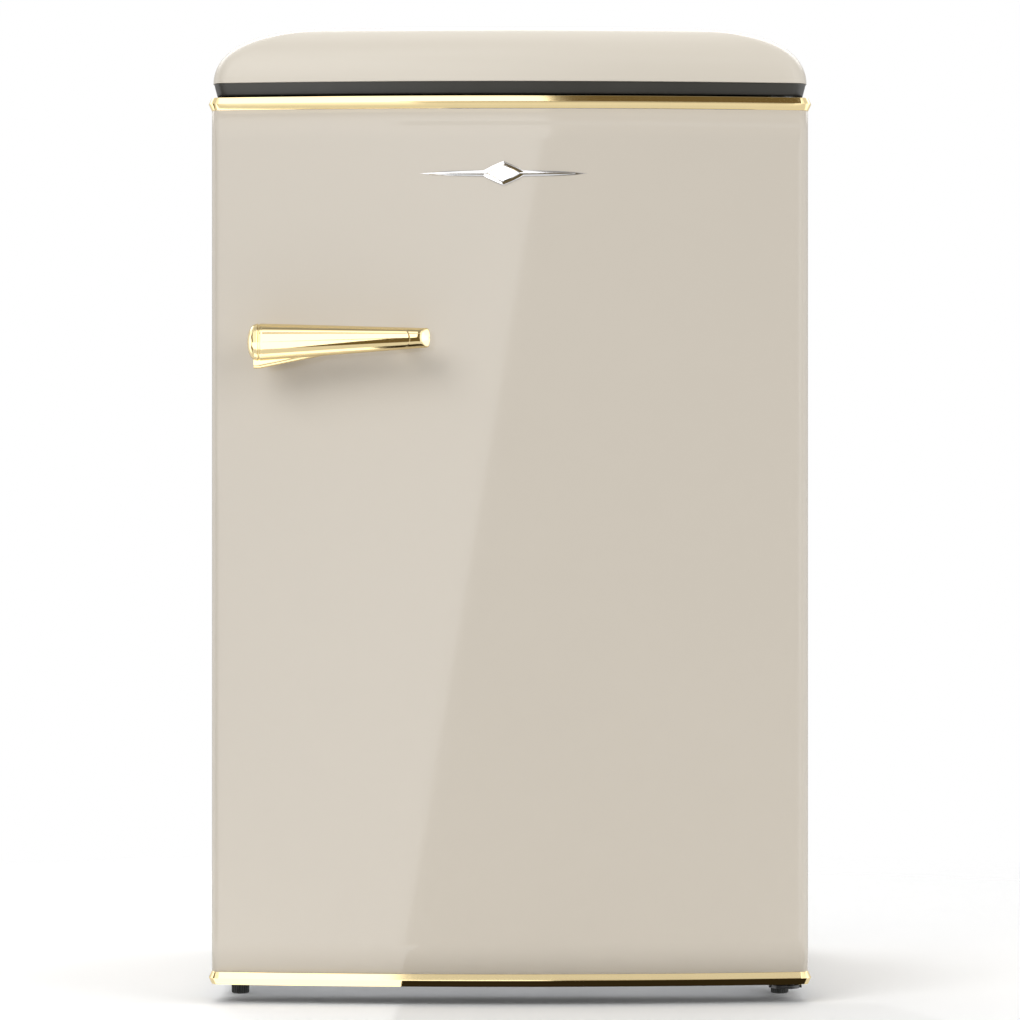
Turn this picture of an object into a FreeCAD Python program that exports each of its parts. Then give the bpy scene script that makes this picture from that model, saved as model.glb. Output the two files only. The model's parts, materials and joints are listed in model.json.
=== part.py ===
"""Retro under-counter mini fridge, right-hinged, 110 litre class.

Units are millimetres.  +Z is up, the front of the fridge faces -Y and +X is on the right of a person
standing in front of it.  The origin is on the floor, in the middle of the footprint.

The cabinet is a foamed box with steel side panels, a white inner liner, a domed worktop on a dark
underframe, a cooling circuit on its back and a compressor bay at the bottom rear.  The door is a bowed,
foamed panel with two metal-look trim strips, a tapered handle, a magnetic gasket and three racks.
"""

import FreeCAD, Part
import math
import os

V = FreeCAD.Vector

# ---------------------------------------------------------------- driving dimensions
HEIGHT = 895.0               # floor to the crown of the worktop
HALF_DEPTH = 307.5           # handle at the front, wall spacers at the back
SHEET = 1.0                  # steel sheet of the cabinet and the door
PLASTIC = 2.0                # vacuum-formed liner

# door
DOOR_HALF_W = 273.0
DOOR_FRONT = -262.0          # crest of the bowed front
DOOR_BOW = 22.0              # how far the crest stands before the door's vertical edges
DOOR_BACK = -197.0           # rear face of the door's steel return flanges
DOOR_EDGE_R = 9.0
DOOR_Z0, DOOR_Z1 = 18.0, 828.0
CAP_T = 6.0                  # plastic end caps at the top and the bottom of the door
BOW_R = (DOOR_HALF_W ** 2 + DOOR_BOW ** 2) / (2 * DOOR_BOW)

# trim strips
TRIM_PROUD = 3.0
TRIM_H = 11.6
TRIM_TOP_Z = DOOR_Z1 + 0.3 - TRIM_H / 2
TRIM_BOTTOM_Z = DOOR_Z0 - 0.2 + TRIM_H / 2

# hinge axis
HINGE_X, HINGE_Y = 255.0, -219.0
PIN_R = 4.0
RUN_GAP = 0.05               # radial clearance of a pin in its bore

# cabinet
CAB_HALF_W = 272.0
CAB_FRONT = -185.0
CAB_REAR = 270.0             # rear edge of the side panels
BACK_Y = 262.0               # outer face of the back panel
CAB_Z0 = 22.0                # underside of the cabinet
CAB_Z1 = 830.5               # upper face of the top deck
BAY_FRONT, BAY_TOP = 118.0, 204.0

# cavity, measured on the liner's inner faces
CAV_HALF_W = 228.0
CAV_BACK = 212.0
CAV_Z0, CAV_Z1 = 62.0, 790.0
STEP_Y, STEP_Z = 75.0, 250.0   # the liner steps over the compressor bay

# worktop
DOME_HALF_W = 272.0
DOME_Z0 = 841.5
DOME_BACK = 275.0
DOME_WALL = 3.0
DOME_SIDE_RUN = 84.0         # width of the rounding at each end
DOME_FRONT_RUN = 46.0
DOME_BACK_RUN = 22.0
DOME_FULLNESS = 2.1          # exponent of the superellipse; 2 would be an ellipse

# shelves, drawer and ice box
SHELF_TOPS = (524.0, 394.0, 260.0)
GLASS_T = 4.0
GLASS_HALF_W = 226.5
GLASS_FRONT, GLASS_BACK = -84.0, 205.0
RIB_INNER = 220.0
DRAWER_HALF_W, DRAWER_FRONT, DRAWER_BACK = 212.0, -90.0, 68.0
DRAWER_Z0, DRAWER_Z1 = 64.0, 236.0
ICE_HALF_W, ICE_Z0, ICE_Z1 = 208.0, 656.0, 782.0
ICE_FRONT, ICE_BACK = -42.0, 196.0
ICE_PIN_X, ICE_PIN_Y = 207.0, -60.0
ICE_PIN_R = 2.5

# door racks
DYKE_OUTER, DYKE_INNER, DYKE_BACK = 214.0, 196.0, -125.0
DYKE_Z0, DYKE_Z1 = 68.0, 784.0
LINER_FACE = DOOR_BACK + 1.5
RACK_BACK = -100.0
RACK_FLOORS = (640.0, 400.0, 76.0)
RACK_HEIGHTS = (62.0, 78.0, 96.0)

# thermostat and lamp housing on the right wall
HOUSING_X, HOUSING_Y0, HOUSING_Y1 = 190.0, -110.0, 60.0
HOUSING_Z0, HOUSING_Z1 = 572.0, 634.0
KNOB_Y, KNOB_Z = -62.0, 603.0
PLUNGER_X, PLUNGER_Z, PLUNGER_R = 205.0, 603.0, 3.5

# feet
FOOT_X, FOOT_Y, FOOT_R = 252.0, -150.0, 8.3
STUD_R, STUD_TOP = 4.0, 37.0

# handle
HANDLE_X0, HANDLE_X1 = -237.0, -72.0
HANDLE_Z0, HANDLE_Z1 = 602.5, 606.5      # height of the bar's axis at its wide and its narrow end

# cooling circuit
TUBE_Y, TUBE_R = 277.0, 2.4
COIL_HALF_W, COIL_Z0, COIL_PITCH, COIL_RUNS = 200.0, 246.0, 44.0, 12
COMP_X, COMP_Y = 55.0, 200.0

OUT = "parts"


# ---------------------------------------------------------------- small helpers
def box(x0, x1, y0, y1, z0, z1):
    return Part.makeBox(x1 - x0, y1 - y0, z1 - z0, V(x0, y0, z0))


def rod(axis, x, y, z, radius, length):
    """A cylinder that starts at a point and runs along an axis: 'x', '-x', 'y', '-y', 'z' or '-z'."""
    sign = -1.0 if axis.startswith("-") else 1.0
    way = {"x": V(sign, 0, 0), "y": V(0, sign, 0), "z": V(0, 0, sign)}[axis[-1]]
    return Part.makeCylinder(radius, length, V(x, y, z), way)


def fuse(shapes):
    shapes = list(shapes)
    return shapes[0].multiFuse(shapes[1:]).removeSplitter() if len(shapes) > 1 else shapes[0]


def cut(base, tools):
    return base.cut(list(tools))


def mirror_x(shape):
    return shape.mirror(V(0, 0, 0), V(1, 0, 0))


def both_sides(shape):
    return [shape, mirror_x(shape)]


def polygon(points):
    return Part.Face(Part.makePolygon(list(points) + [points[0]]))


def prism_x(yz, x0, x1):
    return polygon([V(x0, y, z) for y, z in yz]).extrude(V(x1 - x0, 0, 0))


def prism_y(xz, y0, y1):
    return polygon([V(x, y0, z) for x, z in xz]).extrude(V(0, y1 - y0, 0))


def window(x, z0, z1, width, y0, y1):
    """A rectangular ring that lies in the XZ plane; x, z0 and z1 are its outer edges."""
    outer = box(-x, x, y0, y1, z0, z1)
    return outer.cut(box(-x + width, x - width, y0, y1, z0 + width, z1 - width))


def tube(points, radius, bend):
    """A round tube along straight runs joined by tangent arcs."""
    points = [V(*p) for p in points]
    edges = []
    start = points[0]
    for before, corner, after in zip(points, points[1:], points[2:]):
        into = (corner - before).normalize()
        out = (after - corner).normalize()
        half = into.getAngle(out) / 2
        reach = bend * math.tan(half)
        p0 = corner - into * reach
        p1 = corner + out * reach
        inward = (out - into).normalize()
        centre = corner + inward * (bend / math.cos(half))
        edges.append(Part.LineSegment(start, p0).toShape())
        edges.append(Part.Arc(p0, centre - inward * bend, p1).toShape())
        start = p1
    edges.append(Part.LineSegment(start, points[-1]).toShape())
    path = Part.Wire(edges)
    direction = (points[1] - points[0]).normalize()
    profile = Part.Wire([Part.makeCircle(radius, points[0], direction)])
    return path.makePipeShell([profile], True, False)


def plan_edges(half_w, front, back, corner_r, back_r, z, bow_r=BOW_R):
    """The edges of a plan outline with a bowed front, counter-clockwise from the rear left corner."""
    centre_y = front + bow_r
    cx = half_w - corner_r
    cy = centre_y - math.sqrt((bow_r - corner_r) ** 2 - cx ** 2)
    scale = bow_r / (bow_r - corner_r)
    tx, ty = cx * scale, centre_y + (cy - centre_y) * scale
    turn = math.atan2(ty - cy, tx - cx) / 2
    mx, my = cx + corner_r * math.cos(turn), cy + corner_r * math.sin(turn)
    diag = back_r * (1 - math.sqrt(0.5))
    line, arc = Part.LineSegment, Part.Arc
    edges = [
        line(V(-half_w, back - back_r, z), V(-half_w, cy, z)),
        arc(V(-half_w, cy, z), V(-mx, my, z), V(-tx, ty, z)),
        arc(V(-tx, ty, z), V(0, front, z), V(tx, ty, z)),
        arc(V(tx, ty, z), V(mx, my, z), V(half_w, cy, z)),
        line(V(half_w, cy, z), V(half_w, back - back_r, z)),
    ]
    if back_r:
        edges += [
            arc(V(half_w, back - back_r, z), V(half_w - diag, back - diag, z), V(half_w - back_r, back, z)),
            line(V(half_w - back_r, back, z), V(-half_w + back_r, back, z)),
            arc(V(-half_w + back_r, back, z), V(-half_w + diag, back - diag, z), V(-half_w, back - back_r, z)),
        ]
    else:
        edges.append(line(V(half_w, back, z), V(-half_w, back, z)))
    return [e.toShape() for e in edges]


def door_block(inset, z0, z1, back=DOOR_BACK):
    """The door's plan outline, inset by a wall thickness, as a solid between two heights."""
    edges = plan_edges(DOOR_HALF_W - inset, DOOR_FRONT + inset, back, DOOR_EDGE_R - inset, 0, z0, BOW_R - inset)
    return Part.Face(Part.Wire(edges)).extrude(V(0, 0, z1 - z0))


def save(name, shape):
    shape = shape.copy()
    if shape.ShapeType == "Compound" and len(shape.Solids) == 1:
        shape = shape.Solids[0]
    if not shape.isValid():
        print("not valid:", name)
    shape.exportStep(os.path.join(OUT, name + ".step"))
    print(f"{name:28s} solids {len(shape.Solids):3d}  volume {shape.Volume / 1000:9.1f} cm3")


# ---------------------------------------------------------------- cabinet
def outer_wrap():
    """One bent steel sheet: both sides and the top deck, with the front sealing flange and rear returns."""
    x1 = CAB_HALF_W
    x0 = x1 - SHEET
    low = CAB_Z1 - SHEET
    flange_x = CAV_HALF_W + PLASTIC
    side = box(x0, x1, CAB_FRONT, CAB_REAR, CAB_Z0, low)
    flange = box(flange_x, x0, CAB_FRONT, CAB_FRONT + SHEET, CAB_Z0, low)
    rear_return = box(x0 - 15, x0, CAB_REAR - SHEET, CAB_REAR, CAB_Z0 + 6, low)
    right = [side, flange, rear_return]
    left = [mirror_x(piece) for piece in right]
    deck = box(-x1, x1, CAB_FRONT, CAB_REAR, low, CAB_Z1)
    top_flange = box(-flange_x, flange_x, CAB_FRONT, CAB_FRONT + SHEET, CAV_Z1 + PLASTIC, low)
    return fuse(right + left + [deck, top_flange])


def cavity(grow, front):
    """The stepped storage space; grow is the liner's thickness for its outer skin."""
    space = box(-CAV_HALF_W - grow, CAV_HALF_W + grow, front, CAV_BACK + grow, CAV_Z0 - grow, CAV_Z1 + grow)
    step = box(-300, 300, STEP_Y + grow, CAV_BACK + 50, 0, STEP_Z - grow)
    return space.cut(step)


DRAIN_X, DRAIN_Y, DRAIN_R = -40.0, 196.0, 7.0


def inner_liner():
    """White liner with the ribs that carry the shelves and two low runners for the drawer."""
    shell = cavity(PLASTIC, CAB_FRONT).cut(cavity(0, CAB_FRONT))
    rib_t = 6.0
    ribs = []
    for top in SHELF_TOPS:
        z1 = top - GLASS_T
        ribs += both_sides(box(RIB_INNER, CAV_HALF_W, -78, CAV_BACK - 8, z1 - rib_t, z1))
    runners = both_sides(box(150, 170, -80, STEP_Y - 5, CAV_Z0, CAV_Z0 + 1.2))
    drain = rod("z", DRAIN_X, DRAIN_Y, STEP_Z - PLASTIC, DRAIN_R - 2, PLASTIC)
    return cut(fuse([shell] + ribs + runners), [drain])


def foam_core():
    """Polyurethane foam between the liner and the outer skin."""
    x = CAB_HALF_W - SHEET
    block = box(-x, x, CAB_FRONT + SHEET, BACK_Y - SHEET, CAB_Z0 + SHEET, CAB_Z1 - SHEET)
    bay = box(-300, 300, BAY_FRONT - SHEET, 300, 0, BAY_TOP + SHEET)
    drain = rod("z", DRAIN_X, DRAIN_Y, BAY_TOP, DRAIN_R, STEP_Z - BAY_TOP)
    inserts = both_sides(rod("z", FOOT_X, FOOT_Y, CAB_Z0, 8, 16))
    return cut(block, [cavity(PLASTIC, CAB_FRONT), bay, drain] + inserts)


def front_lower_rail():
    """Steel strip that closes the frame under the cavity's mouth."""
    x = CAV_HALF_W + PLASTIC
    return box(-x, x, CAB_FRONT, CAB_FRONT + SHEET, CAB_Z0, CAV_Z0 - PLASTIC)


def bottom_panel():
    """Steel underside that steps up over the compressor bay."""
    x = CAB_HALF_W - SHEET
    outline = [
        (CAB_FRONT + SHEET, CAB_Z0), (BAY_FRONT, CAB_Z0), (BAY_FRONT, BAY_TOP), (BACK_Y - SHEET, BAY_TOP),
        (BACK_Y - SHEET, BAY_TOP + SHEET), (BAY_FRONT - SHEET, BAY_TOP + SHEET),
        (BAY_FRONT - SHEET, CAB_Z0 + SHEET), (CAB_FRONT + SHEET, CAB_Z0 + SHEET),
    ]
    holes = both_sides(rod("z", FOOT_X, FOOT_Y, CAB_Z0, STUD_R + 0.5, SHEET))
    drain = rod("z", DRAIN_X, DRAIN_Y, BAY_TOP, DRAIN_R, SHEET)
    return cut(prism_x(outline, -x, x), holes + [drain])


def back_panel():
    """Flat rear sheet, stiffened by two shallow vertical beads."""
    x = CAB_HALF_W - SHEET
    sheet = box(-x, x, BACK_Y - SHEET, BACK_Y, BAY_TOP, CAB_Z1 - SHEET)
    beads = [box(s * 235 - 6, s * 235 + 6, BACK_Y, BACK_Y + 1.5, BAY_TOP + 30, CAB_Z1 - 40) for s in (-1, 1)]
    return fuse([sheet] + beads)


def foot_insert():
    ring = rod("z", FOOT_X, FOOT_Y, CAB_Z0 + SHEET, 8, 15)
    return ring.cut(rod("z", FOOT_X, FOOT_Y, CAB_Z0, STUD_R + RUN_GAP, 20))


def drain_tube():
    top = STEP_Z - PLASTIC
    outer = rod("z", DRAIN_X, DRAIN_Y, BAY_TOP - 12, DRAIN_R, top - BAY_TOP + 12)
    return outer.cut(rod("z", DRAIN_X, DRAIN_Y, BAY_TOP - 20, DRAIN_R - 2, 120))


# ---------------------------------------------------------------- worktop
HINGE_POCKET = (236.0, 264.5, -228.5, -148.0, CAB_Z1, CAB_Z1 + 7.0)


def dome_solid(wall):
    """Cushion-shaped block: plan outlines shrink along a quarter-superellipse up to the flat crown."""
    sections = []
    steps = 10
    power = 2 / DOME_FULLNESS
    rise = HEIGHT - DOME_Z0 - wall
    for i in range(steps + 1):
        t = math.pi / 2 * i / steps
        shrink = 1 - max(0.0, math.cos(t)) ** power
        z = DOME_Z0 + rise * math.sin(t) ** power
        edges = plan_edges(
            DOME_HALF_W - wall - DOME_SIDE_RUN * shrink,
            DOOR_FRONT + wall + DOME_FRONT_RUN * shrink,
            DOME_BACK - wall - DOME_BACK_RUN * shrink,
            16 - wall + 34 * shrink,
            14 - wall + 10 * shrink,
            z,
            BOW_R - wall,
        )
        sections.append(Part.Wire(edges))
    return Part.makeLoft(sections, True, False)


def dome_top():
    return dome_solid(0).cut(dome_solid(DOME_WALL))


def dome_underframe():
    """Dark tray under the worktop; its sides lean in, and it reaches over the top of the door."""
    low = Part.Wire(plan_edges(DOME_HALF_W - 3.5, DOOR_FRONT + 5, DOME_BACK - 3.5, 14, 10, CAB_Z1))
    high = Part.Wire(plan_edges(DOME_HALF_W - 1, DOOR_FRONT + 1.5, DOME_BACK - 1, 15, 12, DOME_Z0))
    slab = Part.makeLoft([low, high], True, True)
    hollow = box(-252, 232, -226, 255, CAB_Z1 + 2.5, DOME_Z0)
    pocket = box(*HINGE_POCKET)
    return cut(slab, [hollow, pocket])


# ---------------------------------------------------------------- hinges
def upper_hinge():
    """Steel leaf on the top deck, nose over the door, with the pin pointing down."""
    t = 3.0
    z0 = CAB_Z1
    leaf = box(240, 263, HINGE_Y, -152, z0, z0 + t)
    nose = rod("z", HINGE_X, HINGE_Y, z0, 8, t)
    stiffener = box(240, 243, -205, -152, z0 + t, z0 + t + 3)
    pin = rod("-z", HINGE_X, HINGE_Y, z0, PIN_R, 25)
    head = rod("z", HINGE_X, HINGE_Y, z0 + t, 6.5, 2.5)
    holes = [rod("z", 253, y, z0, 2.6, t) for y in (-176, -160)]
    return cut(fuse([leaf, nose, stiffener, pin, head]), holes)


def lower_hinge():
    """Cranked steel leaf under the cabinet, with the pin pointing up; the right foot goes through it."""
    t = 3.0
    ear_z, leaf_z = 12.5, CAB_Z0 - t
    x0, x1 = 238.0, 268.0
    ear = box(x0, x1, HINGE_Y, CAB_FRONT, ear_z, ear_z + t)
    nose = rod("z", HINGE_X - 2, HINGE_Y, ear_z, 15 - 2, t)
    riser = box(x0, x1, CAB_FRONT - 1, CAB_FRONT + 2, ear_z, CAB_Z0)
    leaf = box(x0, x1, CAB_FRONT + 2, -110, leaf_z, CAB_Z0)
    pin = rod("z", HINGE_X, HINGE_Y, ear_z + t, PIN_R, 26)
    collar = rod("z", HINGE_X, HINGE_Y, ear_z + t, 7, 1.8)
    stud = rod("z", FOOT_X, FOOT_Y, leaf_z, STUD_R + 0.5, t)
    holes = [rod("z", 262, y, leaf_z, 2.6, t) for y in (-126, -174)]
    return cut(fuse([ear, nose, riser, leaf, pin, collar]), [stud] + holes)


def left_foot_plate():
    plate = box(-268, -238, -180, -120, CAB_Z0 - 3, CAB_Z0)
    stud = rod("z", -FOOT_X, FOOT_Y, CAB_Z0 - 3, STUD_R + 0.5, 3)
    holes = [rod("z", -FOOT_X, y, CAB_Z0 - 3, 2.6, 3) for y in (-130, -171)]
    return cut(plate, [stud] + holes)


def pan_screw(x, y, z, up, length=0.0):
    """A screw head with a cross recess; up is +1 when the head is above the clamped face."""
    way = "z" if up > 0 else "-z"
    head = rod(way, x, y, z, 4.4, 2.4)
    slots = [
        box(x - 2.6, x + 2.6, y - 0.5, y + 0.5, z + up * 1.2 - 0.001, z + up * 1.2 + 3) if up > 0
        else box(x - 2.6, x + 2.6, y - 0.5, y + 0.5, z - 4, z - 1.2),
        box(x - 0.5, x + 0.5, y - 2.6, y + 2.6, z + 1.2, z + 4) if up > 0
        else box(x - 0.5, x + 0.5, y - 2.6, y + 2.6, z - 4, z - 1.2),
    ]
    shank = rod("-z" if up > 0 else "z", x, y, z, 2.5, length)
    return cut(fuse([head, shank]), slots)


def hinge_screws():
    """Screws of both hinges and of the left foot plate; each shank fills only its plate."""
    t = 3.0
    upper = [pan_screw(253, y, CAB_Z1 + t, 1, t) for y in (-176, -160)]
    lower = [pan_screw(262, y, CAB_Z0 - t, -1, t) for y in (-126, -174)]
    left = [pan_screw(-FOOT_X, y, CAB_Z0 - t, -1, t) for y in (-130, -171)]
    return Part.makeCompound(upper + lower + left)


# ---------------------------------------------------------------- feet
def levelling_foot(x):
    """Glide pad, hexagon collar and threaded stud, moulded in one."""
    pad = rod("z", x, FOOT_Y, 0, FOOT_R, 9)
    pad = pad.makeChamfer(1.2, [e for e in pad.Edges if e.BoundBox.ZMax < 0.1 and e.Closed])
    hexagon = [V(x + 8 * math.cos(a), FOOT_Y + 8 * math.sin(a), 9) for a in (math.radians(60 * k) for k in range(6))]
    collar = polygon(hexagon).extrude(V(0, 0, 3))
    stud = rod("z", x, FOOT_Y, 12, STUD_R, STUD_TOP - 12)
    return fuse([pad, collar, stud])


def rear_feet():
    feet = []
    for x in (-235, 235):
        foot = Part.makeCone(13, 15, CAB_Z0, V(x, 250, 0))
        feet.append(foot)
    return Part.makeCompound(feet)


# ---------------------------------------------------------------- shelves
def shelf_glass(top):
    return box(-GLASS_HALF_W, GLASS_HALF_W, GLASS_FRONT, GLASS_BACK, top - GLASS_T, top)


def shelf_edges():
    """Clip-on profiles along the front and the rear edge of each glass shelf."""
    solids = []
    for top in SHELF_TOPS:
        low = top - GLASS_T
        front = prism_x(
            [(GLASS_FRONT - 4, low - 3), (GLASS_FRONT + 10, low - 3), (GLASS_FRONT + 10, low), (GLASS_FRONT, low),
             (GLASS_FRONT, top), (GLASS_FRONT + 10, top), (GLASS_FRONT + 10, top + 1.5),
             (GLASS_FRONT - 2.5, top + 1.5), (GLASS_FRONT - 4, top)],
            -219, 219)
        rear = prism_x(
            [(GLASS_BACK + 3, top), (GLASS_BACK + 3, top + 6), (GLASS_BACK - 6, top + 6), (GLASS_BACK - 6, top)],
            -219, 219)
        solids += [front, rear]
    return Part.makeCompound(solids)


def crisper_drawer():
    """Vegetable drawer: open-topped box with a thick front and a finger lip."""
    wall = 2.5
    z0, z1 = DRAWER_Z0, DRAWER_Z1
    outer = box(-DRAWER_HALF_W, DRAWER_HALF_W, DRAWER_FRONT + 4, DRAWER_BACK, z0, z1)
    inner = box(-DRAWER_HALF_W + wall, DRAWER_HALF_W - wall, DRAWER_FRONT + 8, DRAWER_BACK - wall, z0 + wall, z1)
    front = box(-DRAWER_HALF_W, DRAWER_HALF_W, DRAWER_FRONT, DRAWER_FRONT + 6, z0, z1 + 4)
    grip = box(-60, 60, DRAWER_FRONT + 3, DRAWER_FRONT + 8, z1 - 22, z1 + 4)
    return cut(fuse([outer.cut(inner), front]), [grip.common(box(-60, 60, -88, -87, z1 - 22, z1 + 4))])


# ---------------------------------------------------------------- ice box
def evaporator_box():
    """Roll-bonded aluminium box, open to the front, with raised refrigerant channels on its floor and roof."""
    t = 2.0
    outer = box(-ICE_HALF_W, ICE_HALF_W, ICE_FRONT, ICE_BACK, ICE_Z0, ICE_Z1)
    inner = box(-ICE_HALF_W + t, ICE_HALF_W - t, ICE_FRONT, ICE_BACK - t, ICE_Z0 + t, ICE_Z1 - t)
    channels = []
    for k in range(6):
        y = ICE_FRONT + 30 + k * 36
        channels.append(box(-180, 180, y, y + 9, ICE_Z0 - 1.5, ICE_Z0))
        channels.append(box(-180, 180, y, y + 9, ICE_Z1, ICE_Z1 + 1.5))
    return fuse([outer.cut(inner)] + channels)


def evaporator_hangers():
    return Part.makeCompound([
        box(x - 12, x + 12, y, y + 14, ICE_Z1, CAV_Z1) for x in (-195, 195) for y in (0, 150)
    ])


def ice_box_frame():
    """Plastic frame round the ice box mouth, with two ears for the ice door's pins."""
    y0 = ICE_FRONT - 8
    ring = window(214, ICE_Z0 - 6, ICE_Z1 + 4, 14, y0, ICE_FRONT)
    ears = [box(199, 214, ICE_PIN_Y - 7, y0, z, z + 6) for z in (ICE_Z0 - 6, ICE_Z1 - 2)]
    pins = rod("z", ICE_PIN_X, ICE_PIN_Y, ICE_Z0 - 10, ICE_PIN_R + RUN_GAP, ICE_Z1 - ICE_Z0 + 20)
    return cut(fuse([ring] + ears), [pins])


ICE_DOOR_Z0, ICE_DOOR_Z1 = ICE_Z0 + 1.0, ICE_Z1 - 3.0


def ice_box_door():
    """Insulated inner door with a recessed grip at its free end and two hinge pins."""
    y0, y1 = ICE_PIN_Y - 8, ICE_FRONT - 8.5
    z0, z1 = ICE_DOOR_Z0, ICE_DOOR_Z1
    slab = box(-212, 201, y0, y1, z0, z1)
    knuckle = rod("z", ICE_PIN_X, ICE_PIN_Y, z0, 6, z1 - z0)
    web = box(195, ICE_PIN_X, ICE_PIN_Y - 6, ICE_PIN_Y + 6, z0, z1)
    pin = rod("z", ICE_PIN_X, ICE_PIN_Y, z0 - 5, ICE_PIN_R, z1 - z0 + 10)
    grip = box(-206, -186, y0, y0 + 9, z0 + 30, z1 - 30)
    panel = box(-170, 180, y0, y0 + 1.5, z0 + 14, z1 - 14)
    return cut(fuse([slab, knuckle, web, pin]), [grip, panel])


# ---------------------------------------------------------------- thermostat and lamp
def control_housing():
    block = box(HOUSING_X, CAV_HALF_W, HOUSING_Y0, HOUSING_Y1, HOUSING_Z0, HOUSING_Z1)
    nose = prism_x([(HOUSING_Y0 - 1, HOUSING_Z0 - 1), (HOUSING_Y0 + 14, HOUSING_Z0 - 1), (HOUSING_Y0 - 1, HOUSING_Z0 + 14)],
                   HOUSING_X - 1, CAV_HALF_W + 1)
    lamp = box(HOUSING_X, HOUSING_X + 14, -30, 48, HOUSING_Z0 + 8, HOUSING_Z1 - 8)
    inside = box(HOUSING_X + 16, CAV_HALF_W - 2, HOUSING_Y0 + 30, HOUSING_Y1 - 3, HOUSING_Z0 + 3, HOUSING_Z1 - 3)
    shaft = rod("x", HOUSING_X, KNOB_Y, KNOB_Z, 3 + RUN_GAP, 12)
    plunger = rod("y", PLUNGER_X, HOUSING_Y0, PLUNGER_Z, PLUNGER_R + RUN_GAP, 22)
    return cut(block, [nose, lamp, inside, shaft, plunger])


def lamp_cover():
    """Translucent cover of the interior light, ribbed across its face."""
    x0, z0, z1 = HOUSING_X, HOUSING_Z0 + 8, HOUSING_Z1 - 8
    outer = box(x0 - 3, x0 + 12, -30, 48, z0, z1)
    inner = box(x0 - 1, x0 + 12, -28, 46, z0 + 2, z1 - 2)
    ribs = [box(x0 - 3.8, x0 - 3, -26 + 8 * k, -23 + 8 * k, z0 + 2, z1 - 2) for k in range(9)]
    return fuse([outer.cut(inner)] + ribs)


def led_board():
    x0 = HOUSING_X + 12
    board = box(x0, x0 + 1.6, -26, 44, HOUSING_Z0 + 14, HOUSING_Z1 - 14)
    chips = [box(x0 - 1, x0, -20 + 12 * k, -16 + 12 * k, KNOB_Z - 2, KNOB_Z + 2) for k in range(5)]
    return fuse([board] + chips)


def thermostat_knob():
    """Dial with a pointer rib and a grip bar, on a shaft that enters the housing."""
    x0 = HOUSING_X - 0.4
    dial = rod("-x", x0, KNOB_Y, KNOB_Z, 19, 6)
    hub = rod("-x", x0 - 6, KNOB_Y, KNOB_Z, 15, 3)
    bar = box(x0 - 15, x0 - 9, KNOB_Y - 3.5, KNOB_Y + 3.5, KNOB_Z - 14, KNOB_Z + 14)
    shaft = rod("x", x0, KNOB_Y, KNOB_Z, 3, 11)
    return fuse([dial, hub, bar, shaft])


def switch_plunger():
    return rod("y", PLUNGER_X, DYKE_BACK + 0.6, PLUNGER_Z, PLUNGER_R, HOUSING_Y0 + 18 - DYKE_BACK)


# ---------------------------------------------------------------- cooling circuit
def ellipsoid_cap(rx, ry, rz, z, upper):
    ball = Part.makeSphere(1.0)
    matrix = FreeCAD.Matrix()
    matrix.scale(rx, ry, rz)
    ball = ball.transformGeometry(matrix)
    keep = box(-rx - 1, rx + 1, -ry - 1, ry + 1, 0, rz + 1) if upper else box(-rx - 1, rx + 1, -ry - 1, ry + 1, -rz - 1, 0)
    half = ball.common(keep)
    half.translate(V(COMP_X, COMP_Y, z))
    return half


def ellipse_block(rx, ry, z0, z1):
    wire = Part.Wire([Part.Ellipse(V(COMP_X, COMP_Y, z0), rx, ry).toShape()])
    return Part.Face(wire).extrude(V(0, 0, z1 - z0))


COMP_RX, COMP_RY = 74.0, 54.0
BOLT_XY = [(COMP_X + sx * 92, COMP_Y + sy * 34) for sx in (-1, 1) for sy in (-1, 1)]
PLATE_T = 2.0
GROMMET_H = 12.0


def compressor():
    """Welded steel shell with its weld flange and two foot bars."""
    z_feet = CAB_Z0 + PLATE_T + GROMMET_H
    low = z_feet + 3
    body = ellipse_block(COMP_RX, COMP_RY, low + 26, low + 84)
    bottom = ellipsoid_cap(COMP_RX, COMP_RY, 26, low + 26, False)
    top = ellipsoid_cap(COMP_RX, COMP_RY, 36, low + 84, True)
    flange = ellipse_block(COMP_RX + 3, COMP_RY + 3, low + 62, low + 65)
    bars = [box(COMP_X - 104, COMP_X + 104, COMP_Y + s * 34 - 11, COMP_Y + s * 34 + 11, z_feet, z_feet + 3) for s in (-1, 1)]
    necks = [box(COMP_X - 40, COMP_X + 40, COMP_Y + s * 30 - 6, COMP_Y + s * 30 + 6, z_feet + 3, low + 16) for s in (-1, 1)]
    holes = [rod("z", x, y, z_feet - 1, 4.0, 5) for x, y in BOLT_XY]
    return cut(fuse([body, bottom, top, flange] + bars + necks), holes)


def compressor_plate():
    """Steel tray across the bay that carries the compressor and the rear feet."""
    x = CAB_HALF_W - SHEET
    z0 = CAB_Z0
    plate = box(-x, x, BAY_FRONT, 282, z0, z0 + PLATE_T)
    lip = box(-x, x, 280, 282, z0 + PLATE_T, z0 + 16)
    slots = [box(-200 + 46 * k, -175 + 46 * k, 140, 152, z0, z0 + PLATE_T) for k in range(9)]
    notch = both_sides(box(x - 16, x, CAB_REAR - SHEET, CAB_REAR, z0, z0 + 20))
    return cut(fuse([plate, lip]), slots + notch + [rod("z", bx, by, z0, 4.0, PLATE_T) for bx, by in BOLT_XY])


def compressor_grommets():
    z0 = CAB_Z0 + PLATE_T
    return Part.makeCompound([
        rod("z", x, y, z0, 10, GROMMET_H).cut(rod("z", x, y, z0, 4.0, GROMMET_H)) for x, y in BOLT_XY
    ])


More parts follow.
